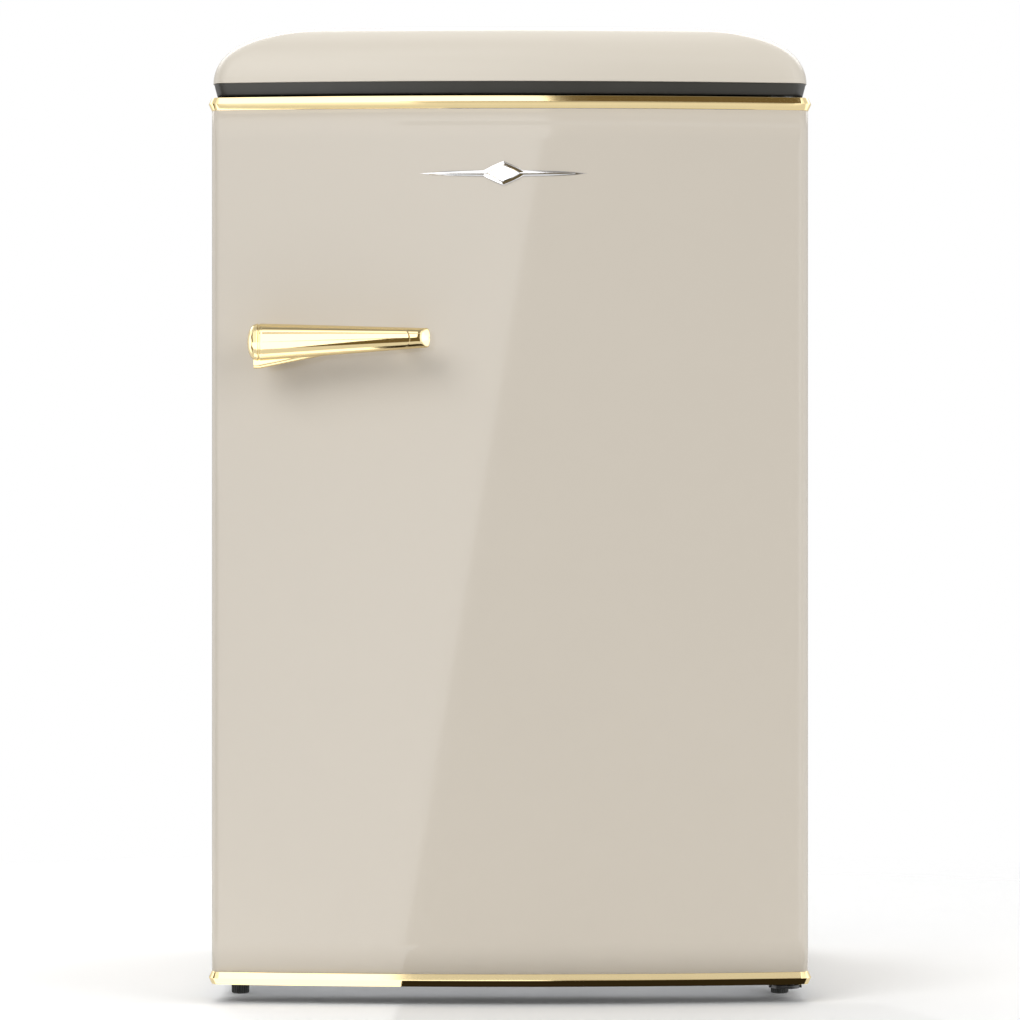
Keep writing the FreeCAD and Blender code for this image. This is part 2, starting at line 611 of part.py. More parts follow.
def compressor_bolts():
    z0 = CAB_Z0
    top = z0 + PLATE_T + GROMMET_H + 3
    solids = []
    for x, y in BOLT_XY:
        shank = rod("z", x, y, z0 - 2, 4.0, top - z0 + 6)
        nut = polygon([V(x + 7 * math.cos(a), y + 7 * math.sin(a), top) for a in (math.radians(60 * k) for k in range(6))])
        head = rod("z", x, y, z0 - 5, 7, 5)
        solids.append(fuse([shank, nut.extrude(V(0, 0, 5)), head]))
    return Part.makeCompound(solids)


RELAY_X0 = COMP_X + COMP_RX + 3.5
INLET_R = 4.0
INLET_X, INLET_Z = RELAY_X0 + 20, 86.0


def relay_cover():
    """Box over the start relay, with a round gland for the supply cord on its rear face."""
    block = box(RELAY_X0, RELAY_X0 + 40, 176, 232, 66, 122)
    lid = box(RELAY_X0 + 40, RELAY_X0 + 42, 180, 228, 70, 118)
    gland = rod("y", INLET_X, 232, INLET_Z, 9, 14)
    return cut(fuse([block, lid, gland]), [rod("-y", INLET_X, 247, INLET_Z, INLET_R, 15 + 10)])


TRAY_Z0, TRAY_Z1 = 168.0, 188.0


def evaporating_tray():
    """Shallow tray above the compressor that catches the defrost water."""
    outer = box(-86, 100, 152, 248, TRAY_Z0, TRAY_Z1)
    inner = box(-84, 98, 154, 246, TRAY_Z0 + 2, TRAY_Z1)
    return outer.cut(inner)


def tray_arms():
    """Two wire-like arms that hang the tray from the roof of the bay."""
    arms = []
    for x in (-89, 103):
        post = box(x - 3, x + 3, 190, 210, TRAY_Z0 - 2, BAY_TOP)
        arms.append(post)
    shelf = [box(-92, -60, 190, 210, TRAY_Z0 - 2, TRAY_Z0), box(74, 106, 190, 210, TRAY_Z0 - 2, TRAY_Z0)]
    return Part.makeCompound([fuse([a, s]) for a, s in zip(arms, shelf)])


def coil_points():
    points = []
    for k in range(COIL_RUNS):
        z = COIL_Z0 + k * COIL_PITCH
        x = -COIL_HALF_W if k % 2 == 0 else COIL_HALF_W
        points += [(x, TUBE_Y, z), (-x, TUBE_Y, z)]
    return points


def condenser_tube():
    """Serpentine tube on the back, fed from the bay at its lower left corner."""
    inner = coil_points()
    outlet_x = COIL_HALF_W + 34
    top = COIL_Z0 + (COIL_RUNS - 1) * COIL_PITCH
    first = (-COIL_HALF_W, TUBE_Y, COIL_Z0 - 30)
    last = [(-outlet_x, TUBE_Y, top), (-outlet_x, TUBE_Y, 168)]
    return tube([first] + inner[:-1] + last, TUBE_R, 18)


def condenser_wires():
    """Stiffening wires behind the serpentine."""
    radius = 0.8
    z0, z1 = COIL_Z0 - 10, COIL_Z0 + (COIL_RUNS - 1) * COIL_PITCH + 10
    y = TUBE_Y + TUBE_R + radius + 0.05
    count = 39
    pitch = 2 * (COIL_HALF_W - 26) / (count - 1)
    return Part.makeCompound([
        rod("z", -COIL_HALF_W + 26 + k * pitch, y, z0, radius, z1 - z0) for k in range(count)
    ])


def condenser_clips():
    """Plastic stand-offs that hold the coil away from the back panel."""
    clips = []
    for k in (1, 6, 10):
        z = COIL_Z0 + k * COIL_PITCH
        for x in (-150, 150):
            block = box(x - 7, x + 7, BACK_Y, TUBE_Y + TUBE_R - 0.4, z - 8, z + 8)
            clips.append(block.cut(rod("x", x - 8, TUBE_Y, z, TUBE_R + 0.05, 16)))
    return Part.makeCompound(clips)


def wall_spacers():
    """Two posts that keep the coil off the room's wall."""
    posts = []
    for x in (-180, 180):
        post = Part.makeCone(14, 10, HALF_DEPTH - BACK_Y, V(x, BACK_Y, 790), V(0, 1, 0))
        posts.append(post)
    return Part.makeCompound(posts)


DRIER_X, DRIER_Z0, DRIER_Z1 = -234.0, 100.0, 160.0


def filter_drier():
    body = rod("z", DRIER_X, TUBE_Y, DRIER_Z0, 8, DRIER_Z1 - DRIER_Z0)
    neck = Part.makeCone(8, 3, 8, V(DRIER_X, TUBE_Y, DRIER_Z1))
    foot = Part.makeCone(3, 8, 8, V(DRIER_X, TUBE_Y, DRIER_Z0 - 8))
    return fuse([body, neck, foot])


def refrigerant_pipes():
    """Discharge pipe to the coil, capillary from the drier and the insulated suction pipe."""
    left = COMP_X - COMP_RX
    discharge = tube(
        [(left - 3.5, COMP_Y, 96), (left - 40, COMP_Y, 96), (left - 40, 262, 96), (-COIL_HALF_W, 262, 96),
         (-COIL_HALF_W, TUBE_Y, 130), (-COIL_HALF_W, TUBE_Y, COIL_Z0 - 30)],
        TUBE_R, 9)
    capillary = tube(
        [(DRIER_X, TUBE_Y, DRIER_Z0 - 8), (DRIER_X, TUBE_Y, 58), (-160, TUBE_Y, 58), (-160, TUBE_Y, 222),
         (-160, BACK_Y, 222)],
        1.0, 8)
    suction = tube(
        [(COMP_X + 30, COMP_Y + COMP_RY + 0.6, 96), (COMP_X + 30, 274, 96), (COMP_X + 30, 274, 224), (COMP_X + 30, BACK_Y, 224)],
        3.2, 9)
    return Part.makeCompound([discharge, capillary, suction])


# ---------------------------------------------------------------- door
def bush_hole(top):
    z = DOOR_Z1 - 27 if top else DOOR_Z0
    return rod("z", HINGE_X, HINGE_Y, z, 7, 27)


def door_skin():
    """Painted steel wrapped round the front and the sides, with return flanges at the rear."""
    z0, z1 = DOOR_Z0 + CAP_T, DOOR_Z1 - CAP_T
    outer = door_block(0, z0, z1)
    inner = door_block(SHEET, z0, z1, DOOR_BACK - SHEET)
    mouth = box(-DOOR_HALF_W + 12, DOOR_HALF_W - 12, DOOR_BACK - SHEET, DOOR_BACK, z0, z1)
    return cut(outer, [inner, mouth] + handle_screw_list())


def dyke():
    """Vertical ridge of the door liner that carries the racks."""
    return box(DYKE_INNER, DYKE_OUTER, DOOR_BACK - SHEET, DYKE_BACK, DYKE_Z0, DYKE_Z1)


def door_foam():
    z0, z1 = DOOR_Z0 + CAP_T, DOOR_Z1 - CAP_T
    slab = door_block(SHEET, z0, z1, DOOR_BACK - SHEET)
    fill = box(-DOOR_HALF_W + 12, DOOR_HALF_W - 12, DOOR_BACK - SHEET, DOOR_BACK, z0, z1)
    ridges = both_sides(box(DYKE_INNER + 1.5, DYKE_OUTER - 1.5, DOOR_BACK, DYKE_BACK - 1.5, DYKE_Z0 + 1.5, DYKE_Z1 - 1.5))
    return cut(fuse([slab, fill] + ridges), [bush_hole(True), bush_hole(False)] + handle_screw_list())


def door_liner():
    """White inner door panel with the two ridges and the ledges under the racks."""
    z0, z1 = DOOR_Z0 + CAP_T, DOOR_Z1 - CAP_T
    plate = box(-DOOR_HALF_W + 3, DOOR_HALF_W - 3, DOOR_BACK, LINER_FACE, z0, z1)
    outer = both_sides(box(DYKE_INNER, DYKE_OUTER, DOOR_BACK, DYKE_BACK, DYKE_Z0, DYKE_Z1))
    inner = both_sides(box(DYKE_INNER + 1.5, DYKE_OUTER - 1.5, DOOR_BACK, DYKE_BACK - 1.5, DYKE_Z0 + 1.5, DYKE_Z1 - 1.5))
    ledges = []
    for z in RACK_FLOORS:
        ledges += both_sides(box(DYKE_INNER - 5, DYKE_INNER, LINER_FACE, DYKE_BACK - 6, z - 5, z))
    bead = window(182, 180, 380, 3, LINER_FACE, LINER_FACE + 1.2)
    return cut(fuse([plate] + outer + ledges + [bead]), inner)


def door_end_cap(top):
    z0 = DOOR_Z1 - CAP_T if top else DOOR_Z0
    cap = door_block(0, z0, z0 + CAP_T, LINER_FACE)
    return cut(cap, [bush_hole(top)])


def hinge_bushes():
    """Plastic bushes pressed into the end caps; the hinge pins turn in them."""
    bushes = []
    for top in (True, False):
        bore_z = DOOR_Z1 - 25 if top else DOOR_Z0
        bore = rod("z", HINGE_X, HINGE_Y, bore_z, PIN_R + RUN_GAP, 25)
        bushes.append(bush_hole(top).cut(bore))
    return Part.makeCompound(bushes)


def trim_strip(z):
    """Bright strip swept round the front and both sides of the door, rounded in section."""
    edges = plan_edges(DOOR_HALF_W, DOOR_FRONT, DOOR_BACK - 2, DOOR_EDGE_R, 0, z)[:5]
    path = Part.Wire(edges)
    x, y = -DOOR_HALF_W, DOOR_BACK - 2
    half = TRIM_H / 2
    skirt = 1.0
    profile = Part.Wire([
        Part.LineSegment(V(x, y, z - half), V(x, y, z + half)).toShape(),
        Part.LineSegment(V(x, y, z + half), V(x - skirt, y, z + half)).toShape(),
        Part.Arc(V(x - skirt, y, z + half), V(x - TRIM_PROUD, y, z), V(x - skirt, y, z - half)).toShape(),
        Part.LineSegment(V(x - skirt, y, z - half), V(x, y, z - half)).toShape(),
    ])
    return path.makePipeShell([profile], True, False)


def door_gasket():
    """Magnetic gasket: a base, a bellows neck and the sealing head, as rectangular rings."""
    y = LINER_FACE
    outer, z0, z1 = 248.0, 42.0, 810.0
    base = window(outer, z0, z1, 16, y, y + 3)
    neck = window(outer - 4, z0 + 4, z1 - 4, 8, y + 3, y + 6)
    head = window(outer, z0, z1, 16, y + 6, CAB_FRONT - 0.3)
    return fuse([base, neck, head])


def rack(floor, height):
    """Open-topped door rack with a lower wall towards the shelves and a rounded rail along it."""
    wall = 2.5
    x = DYKE_INNER - 0.5
    y0 = LINER_FACE + 0.5
    outer = box(-x, x, y0, RACK_BACK, floor, floor + height)
    inner = box(-x + wall, x - wall, y0 + wall, RACK_BACK - wall, floor + wall, floor + height)
    back_drop = box(-x + 16, x - 16, y0 - 1, y0 + wall, floor + height * 0.55, floor + height + 1)
    return cut(outer, [inner, back_drop])


# ---------------------------------------------------------------- handle and badge
SCREW_X = (-216.0, -94.0)


def handle_bar():
    """Tapered bar: wide at the door's free edge, narrow towards the middle, both ends domed."""
    length = HANDLE_X1 - HANDLE_X0
    stations = [0.0, 0.006, 0.02, 0.05, 0.2, 0.4, 0.6, 0.8, 0.93, 0.97, 0.99, 1.0]
    rounding = [0.80, 0.93, 0.985, 1.0, 1.0, 1.0, 1.0, 1.0, 1.0, 0.93, 0.76, 0.45]
    sections = []
    for s, k in zip(stations, rounding):
        x = HANDLE_X0 + s * length
        half_z = (17.6 - 8.9 * s) * k
        half_y = (13.0 - 5.2 * s) * k
        y = -HALF_DEPTH + 13.0 - 5.2 * s
        z = HANDLE_Z0 + (HANDLE_Z1 - HANDLE_Z0) * s
        major = V(0, 0, 1)
        curve = Part.Ellipse(V(x, y, z + half_z), V(x, y + half_y, z), V(x, y, z))
        sections.append(Part.Wire([curve.toShape()]))
    return Part.makeLoft(sections, True, False)


def handle_posts():
    """Two tapered feet between the bar and the door skin."""
    bar = handle_bar()
    door = door_block(0, 500, 700)
    posts = []
    for x, half_w, half_h, z in ((SCREW_X[0], 15, 14, 600.0), (SCREW_X[1], 8, 6.5, 606.0)):
        base = Part.Wire(Part.makePolygon([V(x - half_w, -235, z - half_h - 4), V(x + half_w, -235, z - half_h - 4),
                                           V(x + half_w, -235, z + half_h + 2), V(x - half_w, -235, z + half_h + 2),
                                           V(x - half_w, -235, z - half_h - 4)]))
        tip = Part.Wire(Part.makePolygon([V(x - half_w + 2, -294, z - half_h), V(x + half_w - 2, -294, z - half_h),
                                          V(x + half_w - 2, -294, z + half_h), V(x - half_w + 2, -294, z + half_h),
                                          V(x - half_w + 2, -294, z - half_h)]))
        post = Part.makeLoft([base, tip], True, True)
        upright = [e for e in post.Edges if abs(e.Vertexes[0].Y - e.Vertexes[-1].Y) > 20]
        post = post.makeFillet(4, upright)
        posts.append(post.cut([door, bar]).Solids[0])
    return posts


def handle_screw_list():
    """Screws from inside the door into the posts."""
    screws = []
    for x, z in zip(SCREW_X, (600.0, 606.0)):
        skin_y = DOOR_FRONT + BOW_R - math.sqrt(BOW_R ** 2 - x ** 2)
        shank = rod("-y", x, skin_y + 6, z, 2.5, 18)
        head = rod("y", x, skin_y + 3, z, 5, 3.5)
        screws.append(fuse([shank, head]))
    return screws


def front_badge():
    """Plain badge without lettering: a slim bar with a lozenge, following the bow of the door."""
    height, x_mid, z_mid = 3.0, -6.0, 757.5
    edges = plan_edges(DOOR_HALF_W + height, DOOR_FRONT - height, DOOR_BACK, DOOR_EDGE_R + height, 0, z_mid - 40, BOW_R + height)
    layer = Part.Face(Part.Wire(edges)).extrude(V(0, 0, 80)).cut(door_block(0, z_mid - 50, z_mid + 50))
    arms = prism_y(
        [(x_mid - 76, z_mid), (x_mid - 60, z_mid - 3), (x_mid + 60, z_mid - 3), (x_mid + 76, z_mid),
         (x_mid + 60, z_mid + 3), (x_mid - 60, z_mid + 3)],
        -300, -230)
    lozenge = prism_y(
        [(x_mid - 22, z_mid), (x_mid, z_mid - 11), (x_mid + 22, z_mid), (x_mid, z_mid + 11)],
        -300, -230)
    return layer.common(fuse([arms, lozenge]))


# ---------------------------------------------------------------- build
def main():
    os.makedirs(OUT, exist_ok=True)
    save("outer_wrap", outer_wrap())
    save("inner_liner", inner_liner())
    save("cabinet_foam", foam_core())
    save("front_lower_rail", front_lower_rail())
    save("bottom_panel", bottom_panel())
    save("back_panel", back_panel())
    insert = foot_insert()
    save("foot_inserts", Part.makeCompound([insert, mirror_x(insert)]))
    save("drain_tube", drain_tube())

    save("worktop_dome", dome_top())
    save("worktop_underframe", dome_underframe())

    save("upper_hinge", upper_hinge())
    save("lower_hinge", lower_hinge())
    save("left_foot_plate", left_foot_plate())
    save("hinge_screws", hinge_screws())

    save("front_foot_left", levelling_foot(-FOOT_X))
    save("front_foot_right", levelling_foot(FOOT_X))
    save("rear_feet", rear_feet())

    for name, top in zip(("shelf_glass_upper", "shelf_glass_lower", "crisper_cover_glass"), SHELF_TOPS):
        save(name, shelf_glass(top))
    save("shelf_edge_profiles", shelf_edges())
    save("crisper_drawer", crisper_drawer())

    save("evaporator_box", evaporator_box())
    save("evaporator_hangers", evaporator_hangers())
    save("ice_box_frame", ice_box_frame())
    save("ice_box_door", ice_box_door())

    save("control_housing", control_housing())
    save("lamp_cover", lamp_cover())
    save("led_board", led_board())
    save("thermostat_knob", thermostat_knob())
    save("door_switch_plunger", switch_plunger())

    save("compressor", compressor())
    save("compressor_plate", compressor_plate())
    save("compressor_grommets", compressor_grommets())
    save("compressor_bolts", compressor_bolts())
    save("relay_cover", relay_cover())
    save("evaporating_tray", evaporating_tray())
    save("tray_arms", tray_arms())
    save("condenser_tube", condenser_tube())
    save("condenser_wires", condenser_wires())
    save("condenser_clips", condenser_clips())
    save("wall_spacers", wall_spacers())
    save("filter_drier", filter_drier())
    save("refrigerant_pipes", refrigerant_pipes())

    save("door_skin", door_skin())
    save("door_foam", door_foam())
    save("door_liner", door_liner())
    save("door_cap_top", door_end_cap(True))
    save("door_cap_bottom", door_end_cap(False))
    save("hinge_bushes", hinge_bushes())
    save("trim_strip_top", trim_strip(TRIM_TOP_Z))
    save("trim_strip_bottom", trim_strip(TRIM_BOTTOM_Z))
    save("door_gasket", door_gasket())
    for name, floor, height in zip(("door_rack_upper", "door_rack_middle", "door_rack_lower"), RACK_FLOORS, RACK_HEIGHTS):
        save(name, rack(floor, height))
    save("handle_bar", handle_bar())
    save("handle_posts", Part.makeCompound([p.cut(handle_screw_list()) for p in handle_posts()]))
    save("handle_screws", Part.makeCompound(handle_screw_list()))
    save("front_badge", front_badge())


main()
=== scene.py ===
"""Studio scene of a retro mini fridge, laid out as an add-on and run as a script."""

import functools
import json
import math

import bmesh
import bpy
from bpy.props import FloatProperty, FloatVectorProperty, IntProperty, PointerProperty
from bpy.types import Operator, Panel, PropertyGroup
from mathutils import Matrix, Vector


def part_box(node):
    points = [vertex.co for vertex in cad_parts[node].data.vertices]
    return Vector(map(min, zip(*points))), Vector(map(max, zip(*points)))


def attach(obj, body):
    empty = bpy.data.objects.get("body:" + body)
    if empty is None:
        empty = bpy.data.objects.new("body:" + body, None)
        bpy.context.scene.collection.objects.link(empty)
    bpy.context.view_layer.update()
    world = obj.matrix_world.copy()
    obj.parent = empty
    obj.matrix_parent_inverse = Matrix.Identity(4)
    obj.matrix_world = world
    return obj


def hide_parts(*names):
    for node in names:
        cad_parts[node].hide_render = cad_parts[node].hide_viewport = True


bl_info = {
    "name": "Retro mini fridge",
    "version": (1, 0, 0),
    "blender": (4, 5, 0),
    "location": "3D View > Sidebar > Fridge",
    "description": "Builds the finished pieces of a retro mini fridge round its packed frame",
    "category": "Object",
}

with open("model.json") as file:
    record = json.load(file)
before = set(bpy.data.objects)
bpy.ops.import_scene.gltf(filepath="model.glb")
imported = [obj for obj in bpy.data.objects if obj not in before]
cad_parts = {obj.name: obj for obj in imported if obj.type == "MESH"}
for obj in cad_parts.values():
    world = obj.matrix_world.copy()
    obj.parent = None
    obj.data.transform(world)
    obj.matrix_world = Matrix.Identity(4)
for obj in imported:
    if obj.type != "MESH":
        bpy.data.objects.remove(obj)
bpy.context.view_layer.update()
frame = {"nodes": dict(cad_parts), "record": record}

MM = 0.001
PI = math.pi

SHELF_PANES = ("shelf_glass_upper", "shelf_glass_lower", "crisper_cover_glass")
DOOR_RACKS = ("door_rack_upper", "door_rack_middle", "door_rack_lower")


# ------------------------------------------------------------------ settings
class FridgeFinishes(PropertyGroup):
    """Colours a user would change."""

    enamel: FloatVectorProperty(
        name="Enamel", description="Colour of the door and the side panels",
        subtype="COLOR", size=3, default=(0.618, 0.566, 0.489), min=0, max=1)
    worktop: FloatVectorProperty(
        name="Worktop", description="Colour of the domed worktop",
        subtype="COLOR", size=3, default=(0.665, 0.613, 0.528), min=0, max=1)
    # The band's near-black is partly its own dark plastic and partly painted shade for the shade under the
    # worktop's overhang.
    underframe: FloatVectorProperty(
        name="Underframe", description="Colour of the band under the worktop",
        subtype="COLOR", size=3, default=(0.031, 0.030, 0.026), min=0, max=1)
    plating: FloatVectorProperty(
        name="Plating", description="Colour of the handle's and the trims' plating",
        subtype="COLOR", size=3, default=(0.90, 0.73, 0.40), min=0, max=1)
    lining: FloatVectorProperty(
        name="Lining", description="Colour of the plastic inside the cabinet and the door",
        subtype="COLOR", size=3, default=(0.83, 0.84, 0.83), min=0, max=1)


class FridgeShapes(PropertyGroup):
    """Sizes of the shapes that the frame's boxes don't give."""

    door_bow: FloatProperty(
        name="Door bow", description="How far the door's middle stands before its edges",
        subtype="DISTANCE", unit="LENGTH", default=22 * MM, min=0, max=40 * MM)
    door_corner: FloatProperty(
        name="Door corner", description="Radius of the door's vertical front edges",
        subtype="DISTANCE", unit="LENGTH", default=9 * MM, min=2 * MM, max=20 * MM)
    crown_side: FloatProperty(
        name="Crown side run", description="Width of the worktop's rounding at each side",
        subtype="DISTANCE", unit="LENGTH", default=84 * MM, min=20 * MM, max=120 * MM)
    crown_front: FloatProperty(
        name="Crown front run", description="Depth of the worktop's rounding at the front",
        subtype="DISTANCE", unit="LENGTH", default=46 * MM, min=10 * MM, max=90 * MM)
    crown_rear: FloatProperty(
        name="Crown rear run", description="Depth of the worktop's rounding at the rear",
        subtype="DISTANCE", unit="LENGTH", default=22 * MM, min=5 * MM, max=60 * MM)
    fullness: FloatProperty(
        name="Crown fullness", description="Exponent of the worktop's rounding; 2 is an ellipse",
        default=2.1, min=1.6, max=6)
    bow_steps: IntProperty(
        name="Bow steps", description="Number of facets across a bowed face", default=72, min=8, max=200)
    edge_round: FloatProperty(
        name="Edge rounding", description="Width of the rounding on plain pressed and moulded edges",
        subtype="DISTANCE", unit="LENGTH", default=0.6 * MM, min=0, max=3 * MM)


@functools.cache
def node_box(node):
    """The lowest and the highest corner of a node, measured once."""
    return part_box(node)


def finishes():
    return bpy.context.scene.fridge_finishes


def shapes():
    return bpy.context.scene.fridge_shapes


# ------------------------------------------------------------------ node groups
def new_group(name, inputs, outputs):
    """A shader node group; inputs are (name, kind, default) and outputs (name, kind)."""
    group = bpy.data.node_groups.new(name, "ShaderNodeTree")
    kinds = {"float": "NodeSocketFloat", "color": "NodeSocketColor"}
    for label, kind, default in inputs:
        item = group.interface.new_socket(name=label, in_out="INPUT", socket_type=kinds[kind])
        item.default_value = default
    for label, kind in outputs:
        group.interface.new_socket(name=label, in_out="OUTPUT", socket_type=kinds[kind])
    source = group.nodes.new("NodeGroupInput")
    target = group.nodes.new("NodeGroupOutput")
    return group, source, target


def math_node(tree, operation, first, second=None, third=None, clamp=False):
    node = tree.nodes.new("ShaderNodeMath")
    node.operation = operation
    node.use_clamp = clamp
    for index, value in enumerate((first, second, third)):
        if value is None:
            continue
        if isinstance(value, bpy.types.NodeSocket):
            tree.links.new(value, node.inputs[index])
        else:
            node.inputs[index].default_value = value
    return node.outputs[0]


def range_node(tree, value, low, high, to_low=0.0, to_high=1.0):
    node = tree.nodes.new("ShaderNodeMapRange")
    tree.links.new(value, node.inputs["Value"])
    for label, number in (("From Min", low), ("From Max", high), ("To Min", to_low), ("To Max", to_high)):
        if isinstance(number, bpy.types.NodeSocket):
            tree.links.new(number, node.inputs[label])
        else:
            node.inputs[label].default_value = number
    return node.outputs["Result"]


def noise_node(tree, scale, detail=3.0, roughness=0.5, stretch=None):
    place = tree.nodes.new("ShaderNodeTexCoord").outputs["Object"]
    if stretch is not None:
        mapping = tree.nodes.new("ShaderNodeMapping")
        mapping.inputs["Scale"].default_value = stretch
        tree.links.new(place, mapping.inputs["Vector"])
        place = mapping.outputs["Vector"]
    node = tree.nodes.new("ShaderNodeTexNoise")
    tree.links.new(place, node.inputs["Vector"])
    if isinstance(scale, bpy.types.NodeSocket):
        tree.links.new(scale, node.inputs["Scale"])
    else:
        node.inputs["Scale"].default_value = scale
    node.inputs["Detail"].default_value = detail
    node.inputs["Roughness"].default_value = roughness
    return node.outputs["Fac"]


def mix_colour(tree, factor, first, second, mode="MIX"):
    node = tree.nodes.new("ShaderNodeMix")
    node.data_type = "RGBA"
    node.blend_type = mode
    for index, value in ((0, factor), (6, first), (7, second)):
        if isinstance(value, bpy.types.NodeSocket):
            tree.links.new(value, node.inputs[index])
        else:
            node.inputs[index].default_value = value
    return node.outputs[2]


def group_orange_peel():
    """Height of sprayed or moulded gloss: a fine ripple over a long, faint swell."""
    group, source, target = new_group(
        "Orange peel",
        [("Ripple scale", "float", 420.0), ("Swell scale", "float", 14.0), ("Swell share", "float", 0.7)],
        [("Height", "float")])
    ripple = noise_node(group, source.outputs["Ripple scale"], 2.0, 0.45)
    swell = noise_node(group, source.outputs["Swell scale"], 1.0, 0.4)
    part = math_node(group, "MULTIPLY", swell, source.outputs["Swell share"])
    total = math_node(group, "ADD", ripple, part)
    group.links.new(total, target.inputs["Height"])
    return group


def group_handling_marks():
    """Roughness raised in soft, uneven patches, as wiping and fingers leave it."""
    group, source, target = new_group(
        "Handling marks",
        [("Roughness", "float", 0.2), ("Spread", "float", 0.06), ("Patch scale", "float", 9.0),
         ("Streak scale", "float", 120.0)],
        [("Roughness", "float")])
    patch = noise_node(group, source.outputs["Patch scale"], 4.0, 0.6)
    streak = noise_node(group, source.outputs["Streak scale"], 3.0, 0.55, stretch=(1.0, 1.0, 0.12))
    both = math_node(group, "ADD", math_node(group, "MULTIPLY", patch, 0.7),
                     math_node(group, "MULTIPLY", streak, 0.3))
    centred = math_node(group, "SUBTRACT", both, 0.5)
    shift = math_node(group, "MULTIPLY", centred, math_node(group, "MULTIPLY", source.outputs["Spread"], 3.0))
    total = math_node(group, "ADD", source.outputs["Roughness"], shift, clamp=True)
    group.links.new(total, target.inputs["Roughness"])
    return group


def group_colour_drift():
    """A base colour that wanders a little in value over the surface."""
    group, source, target = new_group(
        "Colour drift",
        [("Color", "color", (0.8, 0.8, 0.8, 1)), ("Other", "color", (0.7, 0.7, 0.7, 1)),
         ("Amount", "float", 0.5),
         ("Scale", "float", 6.0)],
        [("Color", "color")])
    cloud = noise_node(group, source.outputs["Scale"], 4.0, 0.55)
    spread = range_node(group, cloud, 0.3, 0.7)
    factor = math_node(group, "MULTIPLY", spread, source.outputs["Amount"], clamp=True)
    colour = mix_colour(group, factor, source.outputs["Color"], source.outputs["Other"])
    group.links.new(colour, target.inputs["Color"])
    return group


def group_settled_dust():
    """Pale dust on faces that look up, thicker in patches."""
    group, source, target = new_group(
        "Settled dust",
        [("Color", "color", (0.5, 0.5, 0.5, 1)), ("Dust", "color", (0.62, 0.60, 0.56, 1)),
         ("Amount", "float", 0.3)],
        [("Color", "color"), ("Mask", "float")])
    geometry = group.nodes.new("ShaderNodeNewGeometry")
    split = group.nodes.new("ShaderNodeSeparateXYZ")
    group.links.new(geometry.outputs["Normal"], split.inputs["Vector"])
    up = range_node(group, split.outputs["Z"], 0.25, 0.95)
    cloud = range_node(group, noise_node(group, 60.0, 5.0, 0.7), 0.35, 0.65)
    mask = math_node(group, "MULTIPLY", up, cloud)
    mask = math_node(group, "MULTIPLY", mask, source.outputs["Amount"], clamp=True)
    colour = mix_colour(group, mask, source.outputs["Color"], source.outputs["Dust"])
    group.links.new(colour, target.inputs["Color"])
    group.links.new(mask, target.inputs["Mask"])
    return group


def group_worn_edges():
    """Shows a second colour where the surface is sharply convex."""
    group, source, target = new_group(
        "Worn edges",
        [("Color", "color", (0.5, 0.5, 0.5, 1)), ("Worn", "color", (0.6, 0.6, 0.6, 1)),
         ("Amount", "float", 0.5)],
        [("Color", "color"), ("Mask", "float")])
    geometry = group.nodes.new("ShaderNodeNewGeometry")
    ridge = range_node(group, geometry.outputs["Pointiness"], 0.52, 0.60)
    broken = range_node(group, noise_node(group, 90.0, 4.0, 0.65), 0.40, 0.62)
    mask = math_node(group, "MULTIPLY", ridge, broken)
    mask = math_node(group, "MULTIPLY", mask, source.outputs["Amount"], clamp=True)
    colour = mix_colour(group, mask, source.outputs["Color"], source.outputs["Worn"])
    group.links.new(colour, target.inputs["Color"])
    group.links.new(mask, target.inputs["Mask"])
    return group


def group_moulded_grain():
    """Height of a fine spark-eroded grain on moulded plastic and rubber."""
    group, source, target = new_group("Moulded grain", [("Scale", "float", 900.0)], [("Height", "float")])
    cells = group.nodes.new("ShaderNodeTexVoronoi")
    group.links.new(group.nodes.new("ShaderNodeTexCoord").outputs["Object"], cells.inputs["Vector"])
    group.links.new(source.outputs["Scale"], cells.inputs["Scale"])
    fine = noise_node(group, source.outputs["Scale"], 3.0, 0.6)
    total = math_node(group, "ADD", cells.outputs["Distance"], fine)
    group.links.new(total, target.inputs["Height"])
    return group


def group_drawn_lines():
    """Height of hairlines left by rolling, drawing or polishing, along one axis."""
    group, source, target = new_group(
        "Drawn lines", [("Scale", "float", 260.0)], [("Height", "float")])
    lines = noise_node(group, source.outputs["Scale"], 5.0, 0.65, stretch=(0.03, 1.0, 1.0))
    group.links.new(lines, target.inputs["Height"])
    return group


def group_zinc_spangle():
    """Crystal pattern of hot-dip zinc, as a colour and a roughness."""
    group, source, target = new_group(
        "Zinc spangle",
        [("Light", "color", (0.66, 0.67, 0.68, 1)), ("Dark", "color", (0.50, 0.51, 0.53, 1)),
         ("Scale", "float", 75.0)],
        [("Color", "color"), ("Roughness", "float")])
    cells = group.nodes.new("ShaderNodeTexVoronoi")
    group.links.new(group.nodes.new("ShaderNodeTexCoord").outputs["Object"], cells.inputs["Vector"])
    group.links.new(source.outputs["Scale"], cells.inputs["Scale"])
    split = group.nodes.new("ShaderNodeSeparateColor")
    group.links.new(cells.outputs["Color"], split.inputs["Color"])
    colour = mix_colour(group, split.outputs["Red"], source.outputs["Light"], source.outputs["Dark"])
    group.links.new(colour, target.inputs["Color"])
    rough = range_node(group, split.outputs["Green"], 0.0, 1.0, 0.28, 0.48)
    group.links.new(rough, target.inputs["Roughness"])
    return group


GROUP_MAKERS = {
    "Orange peel": group_orange_peel,
    "Handling marks": group_handling_marks,
    "Colour drift": group_colour_drift,
    "Settled dust": group_settled_dust,
    "Worn edges": group_worn_edges,
    "Moulded grain": group_moulded_grain,
    "Drawn lines": group_drawn_lines,
    "Zinc spangle": group_zinc_spangle,
}


